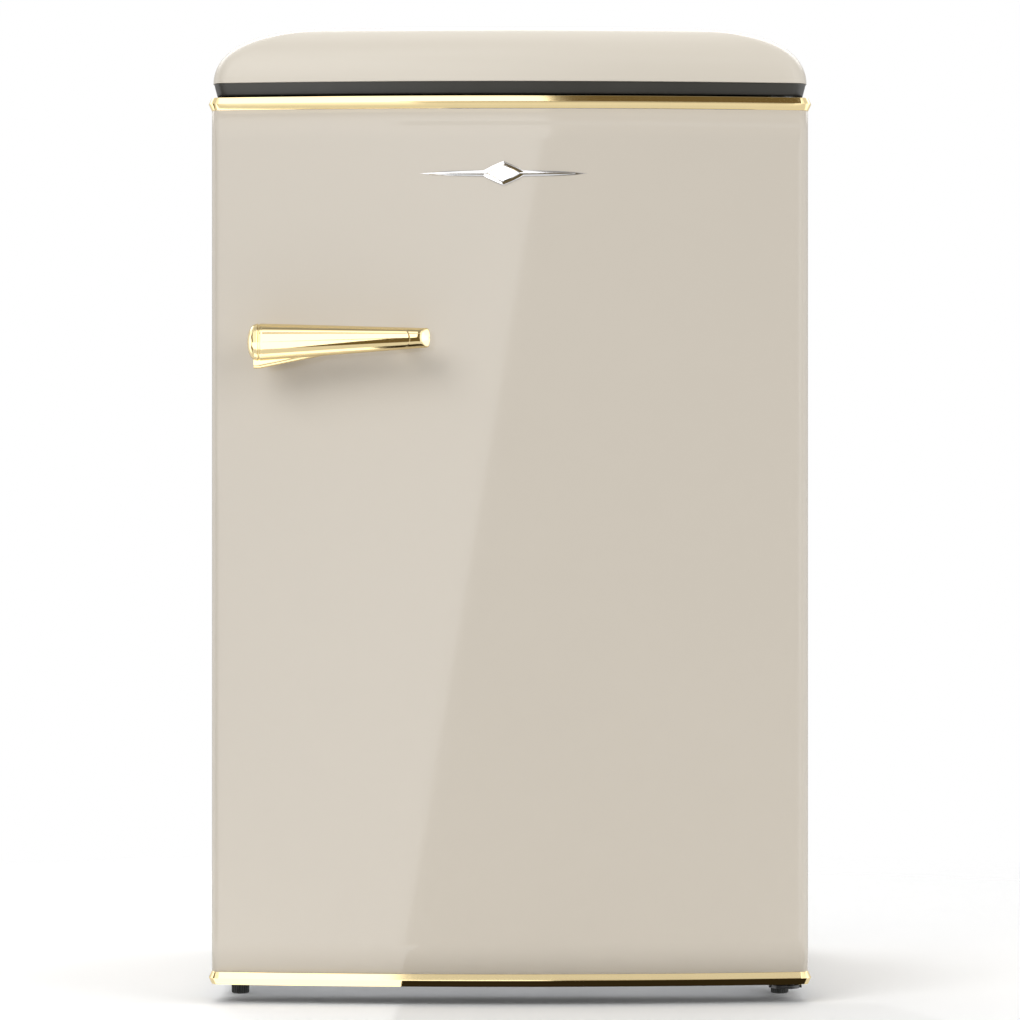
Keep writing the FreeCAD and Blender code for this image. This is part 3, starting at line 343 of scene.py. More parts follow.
def place_group(tree, name, **values):
    """Adds a group node; a value is a socket to link or a number or colour to set."""
    group = bpy.data.node_groups.get(name) or GROUP_MAKERS[name]()
    node = tree.nodes.new("ShaderNodeGroup")
    node.node_tree = group
    for label, value in values.items():
        socket = node.inputs[label.replace("_", " ")]
        if isinstance(value, bpy.types.NodeSocket):
            tree.links.new(value, socket)
        elif isinstance(value, tuple) and len(value) == 3:
            socket.default_value = (*value, 1.0)
        else:
            socket.default_value = value
    return node


# ------------------------------------------------------------------ materials
class Finish:
    """One material: a Principled BSDF whose varying inputs come from the shared groups."""

    def __init__(self, name):
        self.material = bpy.data.materials.new(name)
        self.material.use_nodes = True
        self.tree = self.material.node_tree
        self.shader = self.tree.nodes["Principled BSDF"]

    def constant(self, **values):
        for label, value in values.items():
            self.shader.inputs[label.replace("_", " ")].default_value = value
        return self

    def colour(self, base, other, amount=0.5, scale=6.0, dust=0.0, worn=None, worn_amount=0.0):
        socket = place_group(self.tree, "Colour drift", Color=base, Other=other, Amount=amount,
                             Scale=scale).outputs[0]
        if worn is not None:
            socket = place_group(self.tree, "Worn edges", Color=socket, Worn=worn,
                                 Amount=worn_amount).outputs[0]
        if dust:
            socket = place_group(self.tree, "Settled dust", Color=socket, Amount=dust).outputs[0]
        self.tree.links.new(socket, self.shader.inputs["Base Color"])
        return self

    def rough(self, base, spread=0.05, patch=9.0, streak=120.0):
        node = place_group(
            self.tree, "Handling marks", Roughness=base, Spread=spread, Patch_scale=patch,
            Streak_scale=streak)
        self.tree.links.new(node.outputs[0], self.shader.inputs["Roughness"])
        return self

    def relief(self, group, distance, strength=1.0, **values):
        node = place_group(self.tree, group, **values)
        bump = self.tree.nodes.new("ShaderNodeBump")
        bump.inputs["Strength"].default_value = strength
        bump.inputs["Distance"].default_value = distance
        self.tree.links.new(node.outputs["Height"], bump.inputs["Height"])
        self.tree.links.new(bump.outputs["Normal"], self.shader.inputs["Normal"])
        return self


def shade(colour, factor):
    return tuple(min(1.0, part * factor) for part in colour[:3])


def finish_enamel():
    base = tuple(finishes().enamel)
    return (
        Finish("Cream enamel")
        .colour(base, shade(base, 0.965), 0.6, 3.0)
        .rough(0.045, 0.012, 7.0, 90.0)
        .relief("Orange peel", 0.000004, 0.12, Ripple_scale=420.0, Swell_scale=6.0, Swell_share=2.0)
        .constant(IOR=1.40)
        .material)


def finish_worktop():
    base = tuple(finishes().worktop)
    return (
        Finish("Cream worktop gloss")
        .colour(base, shade(base, 0.97), 0.6, 4.0, dust=0.05)
        .rough(0.24, 0.04, 8.0, 70.0)
        .relief("Orange peel", 0.00001, 0.2, Ripple_scale=380.0, Swell_scale=12.0, Swell_share=1.6)
        .constant(IOR=1.42)
        .material)


# Near-black band: partly the dark plastic's own colour, partly painted shade standing in for the shade under
# the worktop's overhang.
def finish_underframe_and_painted_shade():
    base = tuple(finishes().underframe)
    return (
        Finish("Charcoal band and painted shade")
        .colour(base, shade(base, 1.35), 0.7, 18.0, dust=0.10)
        .rough(0.36, 0.06, 14.0, 100.0)
        .relief("Moulded grain", 0.00003, 0.3, Scale=1400.0)
        .material)


def finish_plating():
    base = tuple(finishes().plating)
    return (
        Finish("Polished gold plating")
        .colour(base, shade(base, 0.93), 0.5, 25.0, worn=shade(base, 1.06), worn_amount=0.4)
        .rough(0.075, 0.03, 30.0, 260.0)
        .relief("Drawn lines", 0.000004, 0.5, Scale=320.0)
        .constant(Metallic=1.0)
        .material)


def finish_chrome():
    base = (0.80, 0.80, 0.81)
    return (
        Finish("Badge chrome")
        .colour(base, shade(base, 0.9), 0.5, 40.0, worn=(0.9, 0.9, 0.9), worn_amount=0.4)
        .rough(0.09, 0.03, 40.0, 260.0)
        .relief("Drawn lines", 0.000004, 0.5, Scale=320.0)
        .constant(Metallic=1.0)
        .material)


def finish_lining():
    base = tuple(finishes().lining)
    return (
        Finish("White vacuum-formed lining")
        .colour(base, shade(base, 0.955), 0.6, 5.0, worn=shade(base, 1.04), worn_amount=0.3)
        .rough(0.30, 0.06, 10.0, 60.0)
        .relief("Orange peel", 0.00004, 0.35, Ripple_scale=240.0, Swell_scale=18.0, Swell_share=1.2)
        .constant(Subsurface_Weight=0.0, IOR=1.5)
        .material)


def finish_white_moulding():
    base = (0.84, 0.84, 0.82)
    return (
        Finish("White moulding")
        .colour(base, shade(base, 0.94), 0.6, 16.0, worn=(0.9, 0.9, 0.89), worn_amount=0.3)
        .rough(0.33, 0.07, 18.0, 140.0)
        .relief("Moulded grain", 0.00002, 0.25, Scale=1100.0)
        .material)


def finish_clear_plastic():
    base = (0.88, 0.93, 0.95)
    finish = (
        Finish("Clear moulded plastic")
        .colour(base, shade(base, 0.94), 0.5, 14.0)
        .rough(0.10, 0.05, 22.0, 180.0)
        .relief("Orange peel", 0.00003, 0.3, Ripple_scale=300.0, Swell_scale=24.0, Swell_share=1.0)
        .constant(Transmission_Weight=0.82, IOR=1.2))
    return finish.material


def finish_glass():
    base = (0.80, 0.92, 0.88)
    finish = (
        Finish("Tempered shelf glass")
        .colour(base, shade(base, 0.95), 0.5, 8.0)
        .rough(0.02, 0.02, 12.0, 120.0)
        .relief("Orange peel", 0.00001, 0.15, Ripple_scale=60.0, Swell_scale=6.0, Swell_share=2.0)
        .constant(Transmission_Weight=0.95, IOR=1.45))
    return finish.material


def finish_rubber(name, base, dust=0.08):
    return (
        Finish(name)
        .colour(base, shade(base, 0.86), 0.7, 30.0, dust=dust)
        .rough(0.55, 0.08, 24.0, 160.0)
        .relief("Moulded grain", 0.00003, 0.4, Scale=1500.0)
        .material)


def finish_zinc():
    finish = Finish("Galvanised sheet")
    spangle = place_group(finish.tree, "Zinc spangle")
    dusted = place_group(finish.tree, "Settled dust", Color=spangle.outputs["Color"], Amount=0.25)
    finish.tree.links.new(dusted.outputs["Color"], finish.shader.inputs["Base Color"])
    finish.tree.links.new(spangle.outputs["Roughness"], finish.shader.inputs["Roughness"])
    finish.relief("Drawn lines", 0.00001, 0.4, Scale=240.0)
    finish.constant(Metallic=0.9)
    return finish.material


def finish_screw():
    base = (0.52, 0.53, 0.54)
    return (
        Finish("Bright zinc fastener")
        .colour(base, (0.42, 0.41, 0.36), 0.6, 120.0, worn=(0.75, 0.75, 0.74), worn_amount=0.8)
        .rough(0.28, 0.10, 90.0, 400.0)
        .relief("Drawn lines", 0.00001, 0.5, Scale=600.0)
        .constant(Metallic=1.0)
        .material)


def finish_black_paint():
    base = (0.022, 0.022, 0.024)
    return (
        Finish("Black stoved paint")
        .colour(base, (0.035, 0.035, 0.036), 0.7, 22.0, dust=0.35, worn=(0.12, 0.12, 0.12), worn_amount=0.5)
        .rough(0.34, 0.09, 26.0, 120.0)
        .relief("Orange peel", 0.00006, 0.4, Ripple_scale=420.0, Swell_scale=40.0, Swell_share=1.0)
        .material)


def finish_copper():
    base = (0.70, 0.36, 0.22)
    return (
        Finish("Drawn copper")
        .colour(base, (0.36, 0.17, 0.10), 0.8, 60.0, dust=0.12, worn=(0.85, 0.50, 0.34), worn_amount=0.5)
        .rough(0.27, 0.12, 60.0, 240.0)
        .relief("Drawn lines", 0.00001, 0.5, Scale=500.0)
        .constant(Metallic=1.0)
        .material)


def finish_aluminium():
    base = (0.66, 0.67, 0.68)
    return (
        Finish("Roll-bonded aluminium")
        .colour(base, (0.56, 0.57, 0.58), 0.6, 20.0)
        .rough(0.38, 0.10, 16.0, 90.0)
        .relief("Drawn lines", 0.00003, 0.6, Scale=180.0)
        .constant(Metallic=0.95)
        .material)


def finish_black_moulding():
    base = (0.012, 0.013, 0.011)
    return (
        Finish("Black moulding")
        .colour(base, (0.024, 0.025, 0.023), 0.6, 40.0, dust=0.05, worn=(0.09, 0.09, 0.09), worn_amount=0.5)
        .rough(0.42, 0.08, 30.0, 160.0)
        .relief("Moulded grain", 0.00003, 0.4, Scale=1200.0)
        .constant(Specular_IOR_Level=0.2)
        .material)


def finish_grey_moulding():
    base = (0.12, 0.12, 0.125)
    return (
        Finish("Grey tray moulding")
        .colour(base, (0.17, 0.17, 0.17), 0.6, 30.0, dust=0.30)
        .rough(0.45, 0.08, 24.0, 120.0)
        .relief("Moulded grain", 0.00003, 0.4, Scale=900.0)
        .material)


def finish_foam():
    base = (0.74, 0.62, 0.36)
    return (
        Finish("Foamed-in insulation")
        .colour(base, (0.62, 0.48, 0.24), 0.8, 45.0)
        .rough(0.85, 0.05, 40.0, 200.0)
        .relief("Moulded grain", 0.0008, 0.8, Scale=260.0)
        .material)


def finish_lamp():
    base = (0.92, 0.92, 0.88)
    return (
        Finish("Frosted lamp cover")
        .colour(base, shade(base, 0.95), 0.5, 40.0)
        .rough(0.40, 0.05, 30.0, 120.0)
        .relief("Moulded grain", 0.00004, 0.4, Scale=700.0)
        .constant(Transmission_Weight=0.5, IOR=1.3, Emission_Color=(1.0, 0.96, 0.88, 1),
                  Emission_Strength=0.35)
        .material)


def finish_board():
    base = (0.03, 0.17, 0.07)
    return (
        Finish("Lamp board lacquer")
        .colour(base, (0.02, 0.11, 0.05), 0.7, 240.0, worn=(0.5, 0.42, 0.2), worn_amount=0.5)
        .rough(0.30, 0.06, 60.0, 300.0)
        .relief("Moulded grain", 0.00004, 0.5, Scale=900.0)
        .material)


def finish_nylon():
    base = (0.70, 0.69, 0.64)
    return (
        Finish("Natural nylon")
        .colour(base, shade(base, 0.9), 0.6, 50.0)
        .rough(0.40, 0.06, 40.0, 160.0)
        .relief("Moulded grain", 0.00002, 0.3, Scale=1200.0)
        .material)


def finish_print_ink():
    base = (0.10, 0.13, 0.20)
    return (
        Finish("Dial printing ink")
        .colour(base, shade(base, 1.4), 0.6, 200.0)
        .rough(0.45, 0.05, 60.0, 300.0)
        .relief("Moulded grain", 0.00001, 0.3, Scale=2200.0)
        .material)


SLOT_FINISHES = {
    "cabinet_enamel": finish_enamel,
    "worktop_gloss": finish_worktop,
    "underframe_grey": finish_underframe_and_painted_shade,
    "gold_plating": finish_plating,
    "badge_chrome": finish_chrome,
    "liner_white": finish_lining,
    "insulation_foam": finish_foam,
    "gasket_rubber": lambda: finish_rubber("Grey gasket rubber", (0.50, 0.50, 0.48)),
    "zinc_steel": finish_zinc,
    "screw_steel": finish_screw,
    "black_paint": finish_black_paint,
    "copper_pipe": finish_copper,
    "shelf_glass": finish_glass,
    "clear_plastic": finish_clear_plastic,
    "evaporator_aluminium": finish_aluminium,
    "white_plastic": finish_white_moulding,
    "lamp_diffuser": finish_lamp,
    "circuit_board": finish_board,
    "bush_nylon": finish_nylon,
    "black_plastic": finish_black_moulding,
    "grommet_rubber": lambda: finish_rubber("Black grommet rubber", (0.03, 0.03, 0.03)),
    "tray_plastic": finish_grey_moulding,
}
EXTRA_FINISHES = {"dial_ink": finish_print_ink}
made_finishes = {}


def finish_for(slot):
    if slot not in made_finishes:
        maker = SLOT_FINISHES.get(slot) or EXTRA_FINISHES[slot]
        made_finishes[slot] = maker()
    return made_finishes[slot]


# ------------------------------------------------------------------ mesh helpers
def add_piece(name, mesh, body, slot, replaces=(), angle=40.0, finish=None):
    """Links a finished mesh as a piece: smooth by angle, finish, body and the nodes it stands for."""
    piece = bpy.data.objects.new(name, mesh)
    bpy.context.scene.collection.objects.link(piece)
    mesh.materials.append(finish_for(finish or slot))
    mesh.shade_smooth()
    mesh.set_sharp_from_angle(angle=math.radians(angle))
    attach(piece, body)
    if replaces:
        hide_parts(*replaces)
    return piece


def thicken(piece, name, thickness):
    """Gives an open skin its wall, on the inner side."""
    solid = piece.modifiers.new(name, "SOLIDIFY")
    solid.thickness = thickness
    solid.offset = -1.0
    return solid


def mesh_from(name, points, faces):
    mesh = bpy.data.meshes.new(name)
    mesh.from_pydata([tuple(p) for p in points], [], faces)
    mesh.update()
    work = bmesh.new()
    work.from_mesh(mesh)
    bmesh.ops.remove_doubles(work, verts=work.verts, dist=1e-7)
    bmesh.ops.recalc_face_normals(work, faces=work.faces)
    work.to_mesh(mesh)
    work.free()
    return mesh


def loft(name, rings, closed=True, cap_first=True, cap_last=True):
    """Skins rings of equal length; closed rings join their last point to their first."""
    size = len(rings[0])
    points = [p for ring in rings for p in ring]
    faces = []
    spans = size if closed else size - 1
    for level in range(len(rings) - 1):
        for i in range(spans):
            j = (i + 1) % size
            low, high = level * size, (level + 1) * size
            faces.append((low + i, low + j, high + j, high + i))
    if cap_first:
        faces.append(tuple(range(size))[::-1])
    if cap_last:
        last = (len(rings) - 1) * size
        faces.append(tuple(range(last, last + size)))
    return mesh_from(name, points, faces)


def join_meshes(name, meshes):
    """One mesh from several, which are removed."""
    work = bmesh.new()
    for mesh in meshes:
        work.from_mesh(mesh)
        bpy.data.meshes.remove(mesh)
    joined = bpy.data.meshes.new(name)
    work.to_mesh(joined)
    work.free()
    return joined


def soft_block(name, low, high, rounding, segments=3):
    """A block whose twelve edges are rounded."""
    work = bmesh.new()
    bmesh.ops.create_cube(work, size=1.0)
    for vert in work.verts:
        vert.co = Vector(
            (low[i] + (vert.co[i] + 0.5) * (high[i] - low[i])) for i in range(3))
    bmesh.ops.bevel(
        work, geom=list(work.edges), offset=rounding, segments=segments, profile=0.5, affect="EDGES",
        clamp_overlap=True)
    mesh = bpy.data.meshes.new(name)
    work.to_mesh(mesh)
    work.free()
    return mesh


def plan_points(half, front, rear, bow_radius, corner, rear_corner=0.0, corner_steps=10):
    """Points of a plan outline with a bowed front, from the rear left round the front to the rear right."""
    steps = shapes().bow_steps
    centre_y = front + bow_radius
    cx = half - corner
    cy = centre_y - math.sqrt((bow_radius - corner) ** 2 - cx ** 2)
    lean = math.atan2(cx, centre_y - cy)
    right = []
    for i in range(corner_steps + 1):
        turn = -PI / 2 + lean + (PI / 2 - lean) * i / corner_steps
        right.append((cx + corner * math.cos(turn), cy + corner * math.sin(turn)))
    bow = []
    for i in range(1, steps):
        turn = -lean + 2 * lean * i / steps
        bow.append((bow_radius * math.sin(turn), centre_y - bow_radius * math.cos(turn)))
    if rear_corner:
        for i in range(corner_steps + 1):
            turn = PI / 2 * i / corner_steps
            right.append((half - rear_corner + rear_corner * math.cos(turn),
                          rear - rear_corner + rear_corner * math.sin(turn)))
    else:
        right.append((half, rear))
    left = [(-x, y) for x, y in reversed(right)]
    return left + bow + right


def outward(points):
    """Unit vectors to the outside of an open outline that runs from left to right past the front."""
    normals = []
    for i in range(len(points)):
        a = points[max(i - 1, 0)]
        b = points[min(i + 1, len(points) - 1)]
        dx, dy = b[0] - a[0], b[1] - a[1]
        length = math.hypot(dx, dy)
        normals.append((dy / length, -dx / length))
    return normals


def bow_radius():
    low, high = node_box("door_skin")
    half = (high.x - low.x) / 2
    bow = shapes().door_bow
    return (half * half + bow * bow) / (2 * bow)


def round_corners(x0, x1, y0, y1, radius, steps):
    """Points round a rectangle with arcs at its corners, and the way that each of them faces."""
    points, facing = [], []
    for cx, cy, start in ((x1 - radius, y0 + radius, -PI / 2), (x1 - radius, y1 - radius, 0),
                          (x0 + radius, y1 - radius, PI / 2), (x0 + radius, y0 + radius, PI)):
        for i in range(steps + 1):
            turn = start + PI / 2 * i / steps
            points.append((cx + radius * math.cos(turn), cy + radius * math.sin(turn)))
            facing.append((math.cos(turn), math.sin(turn)))
    return points, facing


def rounded_rectangle(x0, x1, y0, y1, radius, steps=6):
    return round_corners(x0, x1, y0, y1, radius, steps)[0]


def squared(value, power):
    """A cosine or sine raised to a power below 1, which squares a circle up; the sign is kept."""
    return math.copysign(abs(value) ** power, value)


def tub(name, low, high, wall, corner, draft, base_round):
    """An open-topped moulding: leaning walls, a rounded rim and a filleted floor."""
    rings = []

    def ring(inset, z, radius):
        outline = rounded_rectangle(
            low[0] + inset, high[0] - inset, low[1] + inset, high[1] - inset, max(radius, 0.4 * MM))
        rings.append([(x, y, z) for x, y in outline])

    for i in range(5):
        turn = PI / 2 * i / 4
        ring(draft + base_round * (1 - math.sin(turn)), low[2] + base_round * (1 - math.cos(turn)),
             corner - draft - base_round * (1 - math.sin(turn)))
    ring(draft * 0.5, (low[2] + high[2]) / 2, corner - draft * 0.5)
    ring(0.0, high[2] - wall * 0.5, corner)
    ring(wall * 0.15, high[2] - wall * 0.12, corner - wall * 0.15)
    ring(wall * 0.5, high[2], corner - wall * 0.5)
    ring(wall * 0.85, high[2] - wall * 0.12, corner - wall * 0.85)
    ring(wall, high[2] - wall * 0.5, corner - wall)
    ring(wall + draft * 0.5, (low[2] + high[2]) / 2, corner - wall - draft * 0.5)
    for i in range(5):
        turn = PI / 2 * i / 4
        ring(wall + draft + base_round * (1 - math.cos(turn)),
             low[2] + wall + base_round * (1 - math.sin(turn)),
             corner - wall - draft - base_round * (1 - math.cos(turn)))
    return loft(name, rings)


def lathe(name, profile, centre, axis, steps=64, flutes=0, flute_depth=0.0, flute_from=None):
    """Turns (radius, distance along axis) pairs; flutes ripple the radius of the rows in flute_from."""
    rings = []
    for row, (radius, along) in enumerate(profile):
        ring = []
        for i in range(steps):
            turn = 2 * PI * i / steps
            r = radius
            if flutes and flute_from and row in flute_from:
                r -= flute_depth * (0.5 + 0.5 * math.cos(turn * flutes))
            u, v = r * math.cos(turn), r * math.sin(turn)
            offset = {"x": (along, u, v), "y": (u, along, v), "z": (u, v, along)}[axis]
            ring.append(tuple(centre[k] + offset[k] for k in range(3)))
        rings.append(ring)
    return loft(name, rings)


def sweep_outline(name, points, profile, z):
    """Sweeps a closed (outward, up) profile along an open plan outline and closes both ends."""
    rings = []
    for (x, y), (nx, ny) in zip(points, outward(points)):
        rings.append([(x + nx * u, y + ny * u, z + v) for u, v in profile])
    return loft(name, rings)


def frame_sweep(name, x0, x1, z0, z1, radius, profile, steps=8):
    """Sweeps a closed (inward, y) profile round an upright rectangle with round corners."""
    path, normals = round_corners(x0, x1, z0, z1, radius, steps)
    rings = [[(x - nx * u, y, z - nz * u) for u, y in profile] for (x, z), (nx, nz) in zip(path, normals)]
    rings.append(rings[0])
    return loft(name, rings, cap_first=False, cap_last=False)


def tube_curve(name, routes, radius, body, slot, replaces=(), resolution=5):
    """Round tubes along smooth routes: each route is a list of points with round corners already in it."""
    curve = bpy.data.curves.new(name, "CURVE")
    curve.dimensions = "3D"
    curve.bevel_depth = radius
    curve.bevel_resolution = resolution
    curve.use_fill_caps = True
    for route in routes:
        spline = curve.splines.new("POLY")
        spline.points.add(len(route) - 1)
        for point, place in zip(spline.points, route):
            point.co = (*place, 1.0)
    holder = bpy.data.objects.new(name + "_route", curve)
    bpy.context.scene.collection.objects.link(holder)
    bpy.context.view_layer.update()
    evaluated = holder.evaluated_get(bpy.context.evaluated_depsgraph_get())
    mesh = bpy.data.meshes.new_from_object(evaluated)
    mesh.name = name
    mesh.materials.clear()
    bpy.data.objects.remove(holder)
    bpy.data.curves.remove(curve)
    return add_piece(name, mesh, body, slot, replaces, 50)


def round_route(points, bend, steps=8):
    """A route through points whose corners are arcs of radius bend."""
    points = [Vector(p) for p in points]
    route = [points[0]]
    for before, corner, after in zip(points, points[1:], points[2:]):
        into = (corner - before).normalized()
        out = (after - corner).normalized()
        half = into.angle(out) / 2
        reach = bend * math.tan(half)
        centre = corner + (out - into).normalized() * (bend / math.cos(half))
        start = corner - into * reach - centre
        end = corner + out * reach - centre
        for i in range(steps + 1):
            t = i / steps
            route.append(centre + start.slerp(end, t).normalized() * bend)
    route.append(points[-1])
    return route


def dress(node, width=None, segments=2):
    """Gives a carried-over node its finish and softly rounded edges."""
    piece = frame["nodes"][node]
    slots = {row["node"]: row.get("material_slot") for row in frame["record"]["subparts"]}
    piece.data.materials.clear()
    piece.data.materials.append(finish_for(slots[node]))
    for polygon in piece.data.polygons:
        polygon.material_index = 0
    weld = piece.modifiers.new("Weld", "WELD")
    weld.merge_threshold = 0.00001
    if width is None:
        width = shapes().edge_round
    if width:
        bevel = piece.modifiers.new("Rounded edges", "BEVEL")
        bevel.width = width
        bevel.segments = segments
        bevel.limit_method = "ANGLE"
        bevel.angle_limit = math.radians(38)
        bevel.harden_normals = False
        bevel.use_clamp_overlap = True
    return piece


# ------------------------------------------------------------------ operators
class BuildOperator(Operator):
    """Shared options of the build steps"""

    bl_options = {"REGISTER", "UNDO"}

    def execute(self, context):
        self.build()
        return {"FINISHED"}


class FRIDGE_OT_door_shell(BuildOperator):
    """Builds the bowed door shell and dresses its foam core, end caps and hinge bushes"""

    bl_idname = "fridge.door_shell"
    bl_label = "Door shell"

    def build(self):
        low, high = node_box("door_skin")
        half = (high.x - low.x) / 2
        sheet = 1 * MM
        flange = 12 * MM
        outline = plan_points(half, low.y, high.y, bow_radius(), shapes().door_corner)
        outline = [(-half + flange, high.y)] + outline + [(half - flange, high.y)]
        levels = [low.z + (high.z - low.z) * i / 24 for i in range(25)]
        mesh = loft("door_shell", [[(x, y, z) for x, y in outline] for z in levels], False, False, False)
        shell = add_piece("door_shell", mesh, "door", "cabinet_enamel", ["door_skin"], 50)
        thicken(shell, "Sheet", sheet)
        for node in ("door_foam", "door_cap_top", "door_cap_bottom", "hinge_bushes", "handle_screws"):
            dress(node)


class FRIDGE_OT_door_trims(BuildOperator):
    """Builds the two plated strips that wrap the door's front and sides"""

    bl_idname = "fridge.door_trims"
    bl_label = "Door trims"

    def build(self):
        skin_low, skin_high = node_box("door_skin")
        half = (skin_high.x - skin_low.x) / 2
        for name, node in (("door_trim_top", "trim_strip_top"), ("door_trim_bottom", "trim_strip_bottom")):
            low, high = node_box(node)
            rise = (high.z - low.z) / 2
            proud = high.x - half
            outline = plan_points(half, skin_low.y, high.y, bow_radius(), shapes().door_corner,
                                  corner_steps=14)
            upper = [(0.99, 0.0), (0.94, 0.075), (0.10, 0.965), (0.04, 1.0), (0.0, 1.0)]
            lower = [(out, -up) for out, up in reversed(upper[1:])]
            profile = [(out * proud, up * rise) for out, up in lower + upper]
            mesh = sweep_outline(name, outline, profile, (low.z + high.z) / 2)
            add_piece(name, mesh, "door", "gold_plating", [node], 9)


HANDLE_HALF_HEIGHT = (17.4 * MM, 8.8 * MM)
HANDLE_HALF_DEPTH = (13.0 * MM, 7.8 * MM)
HANDLE_AXIS_HEIGHT = (602.5 * MM, 606.5 * MM)
HANDLE_LEAN_AT_TIP = math.radians(10.0)


def handle_section(share):
    """Centre and half sizes of the handle's bar at a share of its length from the wide end."""
    low, high = node_box("handle_bar")
    tall, deep, z = (wide + (tip - wide) * share
                     for wide, tip in (HANDLE_HALF_HEIGHT, HANDLE_HALF_DEPTH, HANDLE_AXIS_HEIGHT))
    return Vector((low.x + (high.x - low.x) * share, low.y + 0.4 * MM + deep, z)), deep, tall


def leaned(centre, forward, up, share):
    """Where a point of the bar's section stands once the section leans back towards the tip."""
    lean = HANDLE_LEAN_AT_TIP * share
    aside = math.sin(lean) * 0.6
    y = centre.y - (forward * math.cos(lean) + up * aside)
    z = centre.z + up * math.cos(lean) - forward * aside
    return y, z


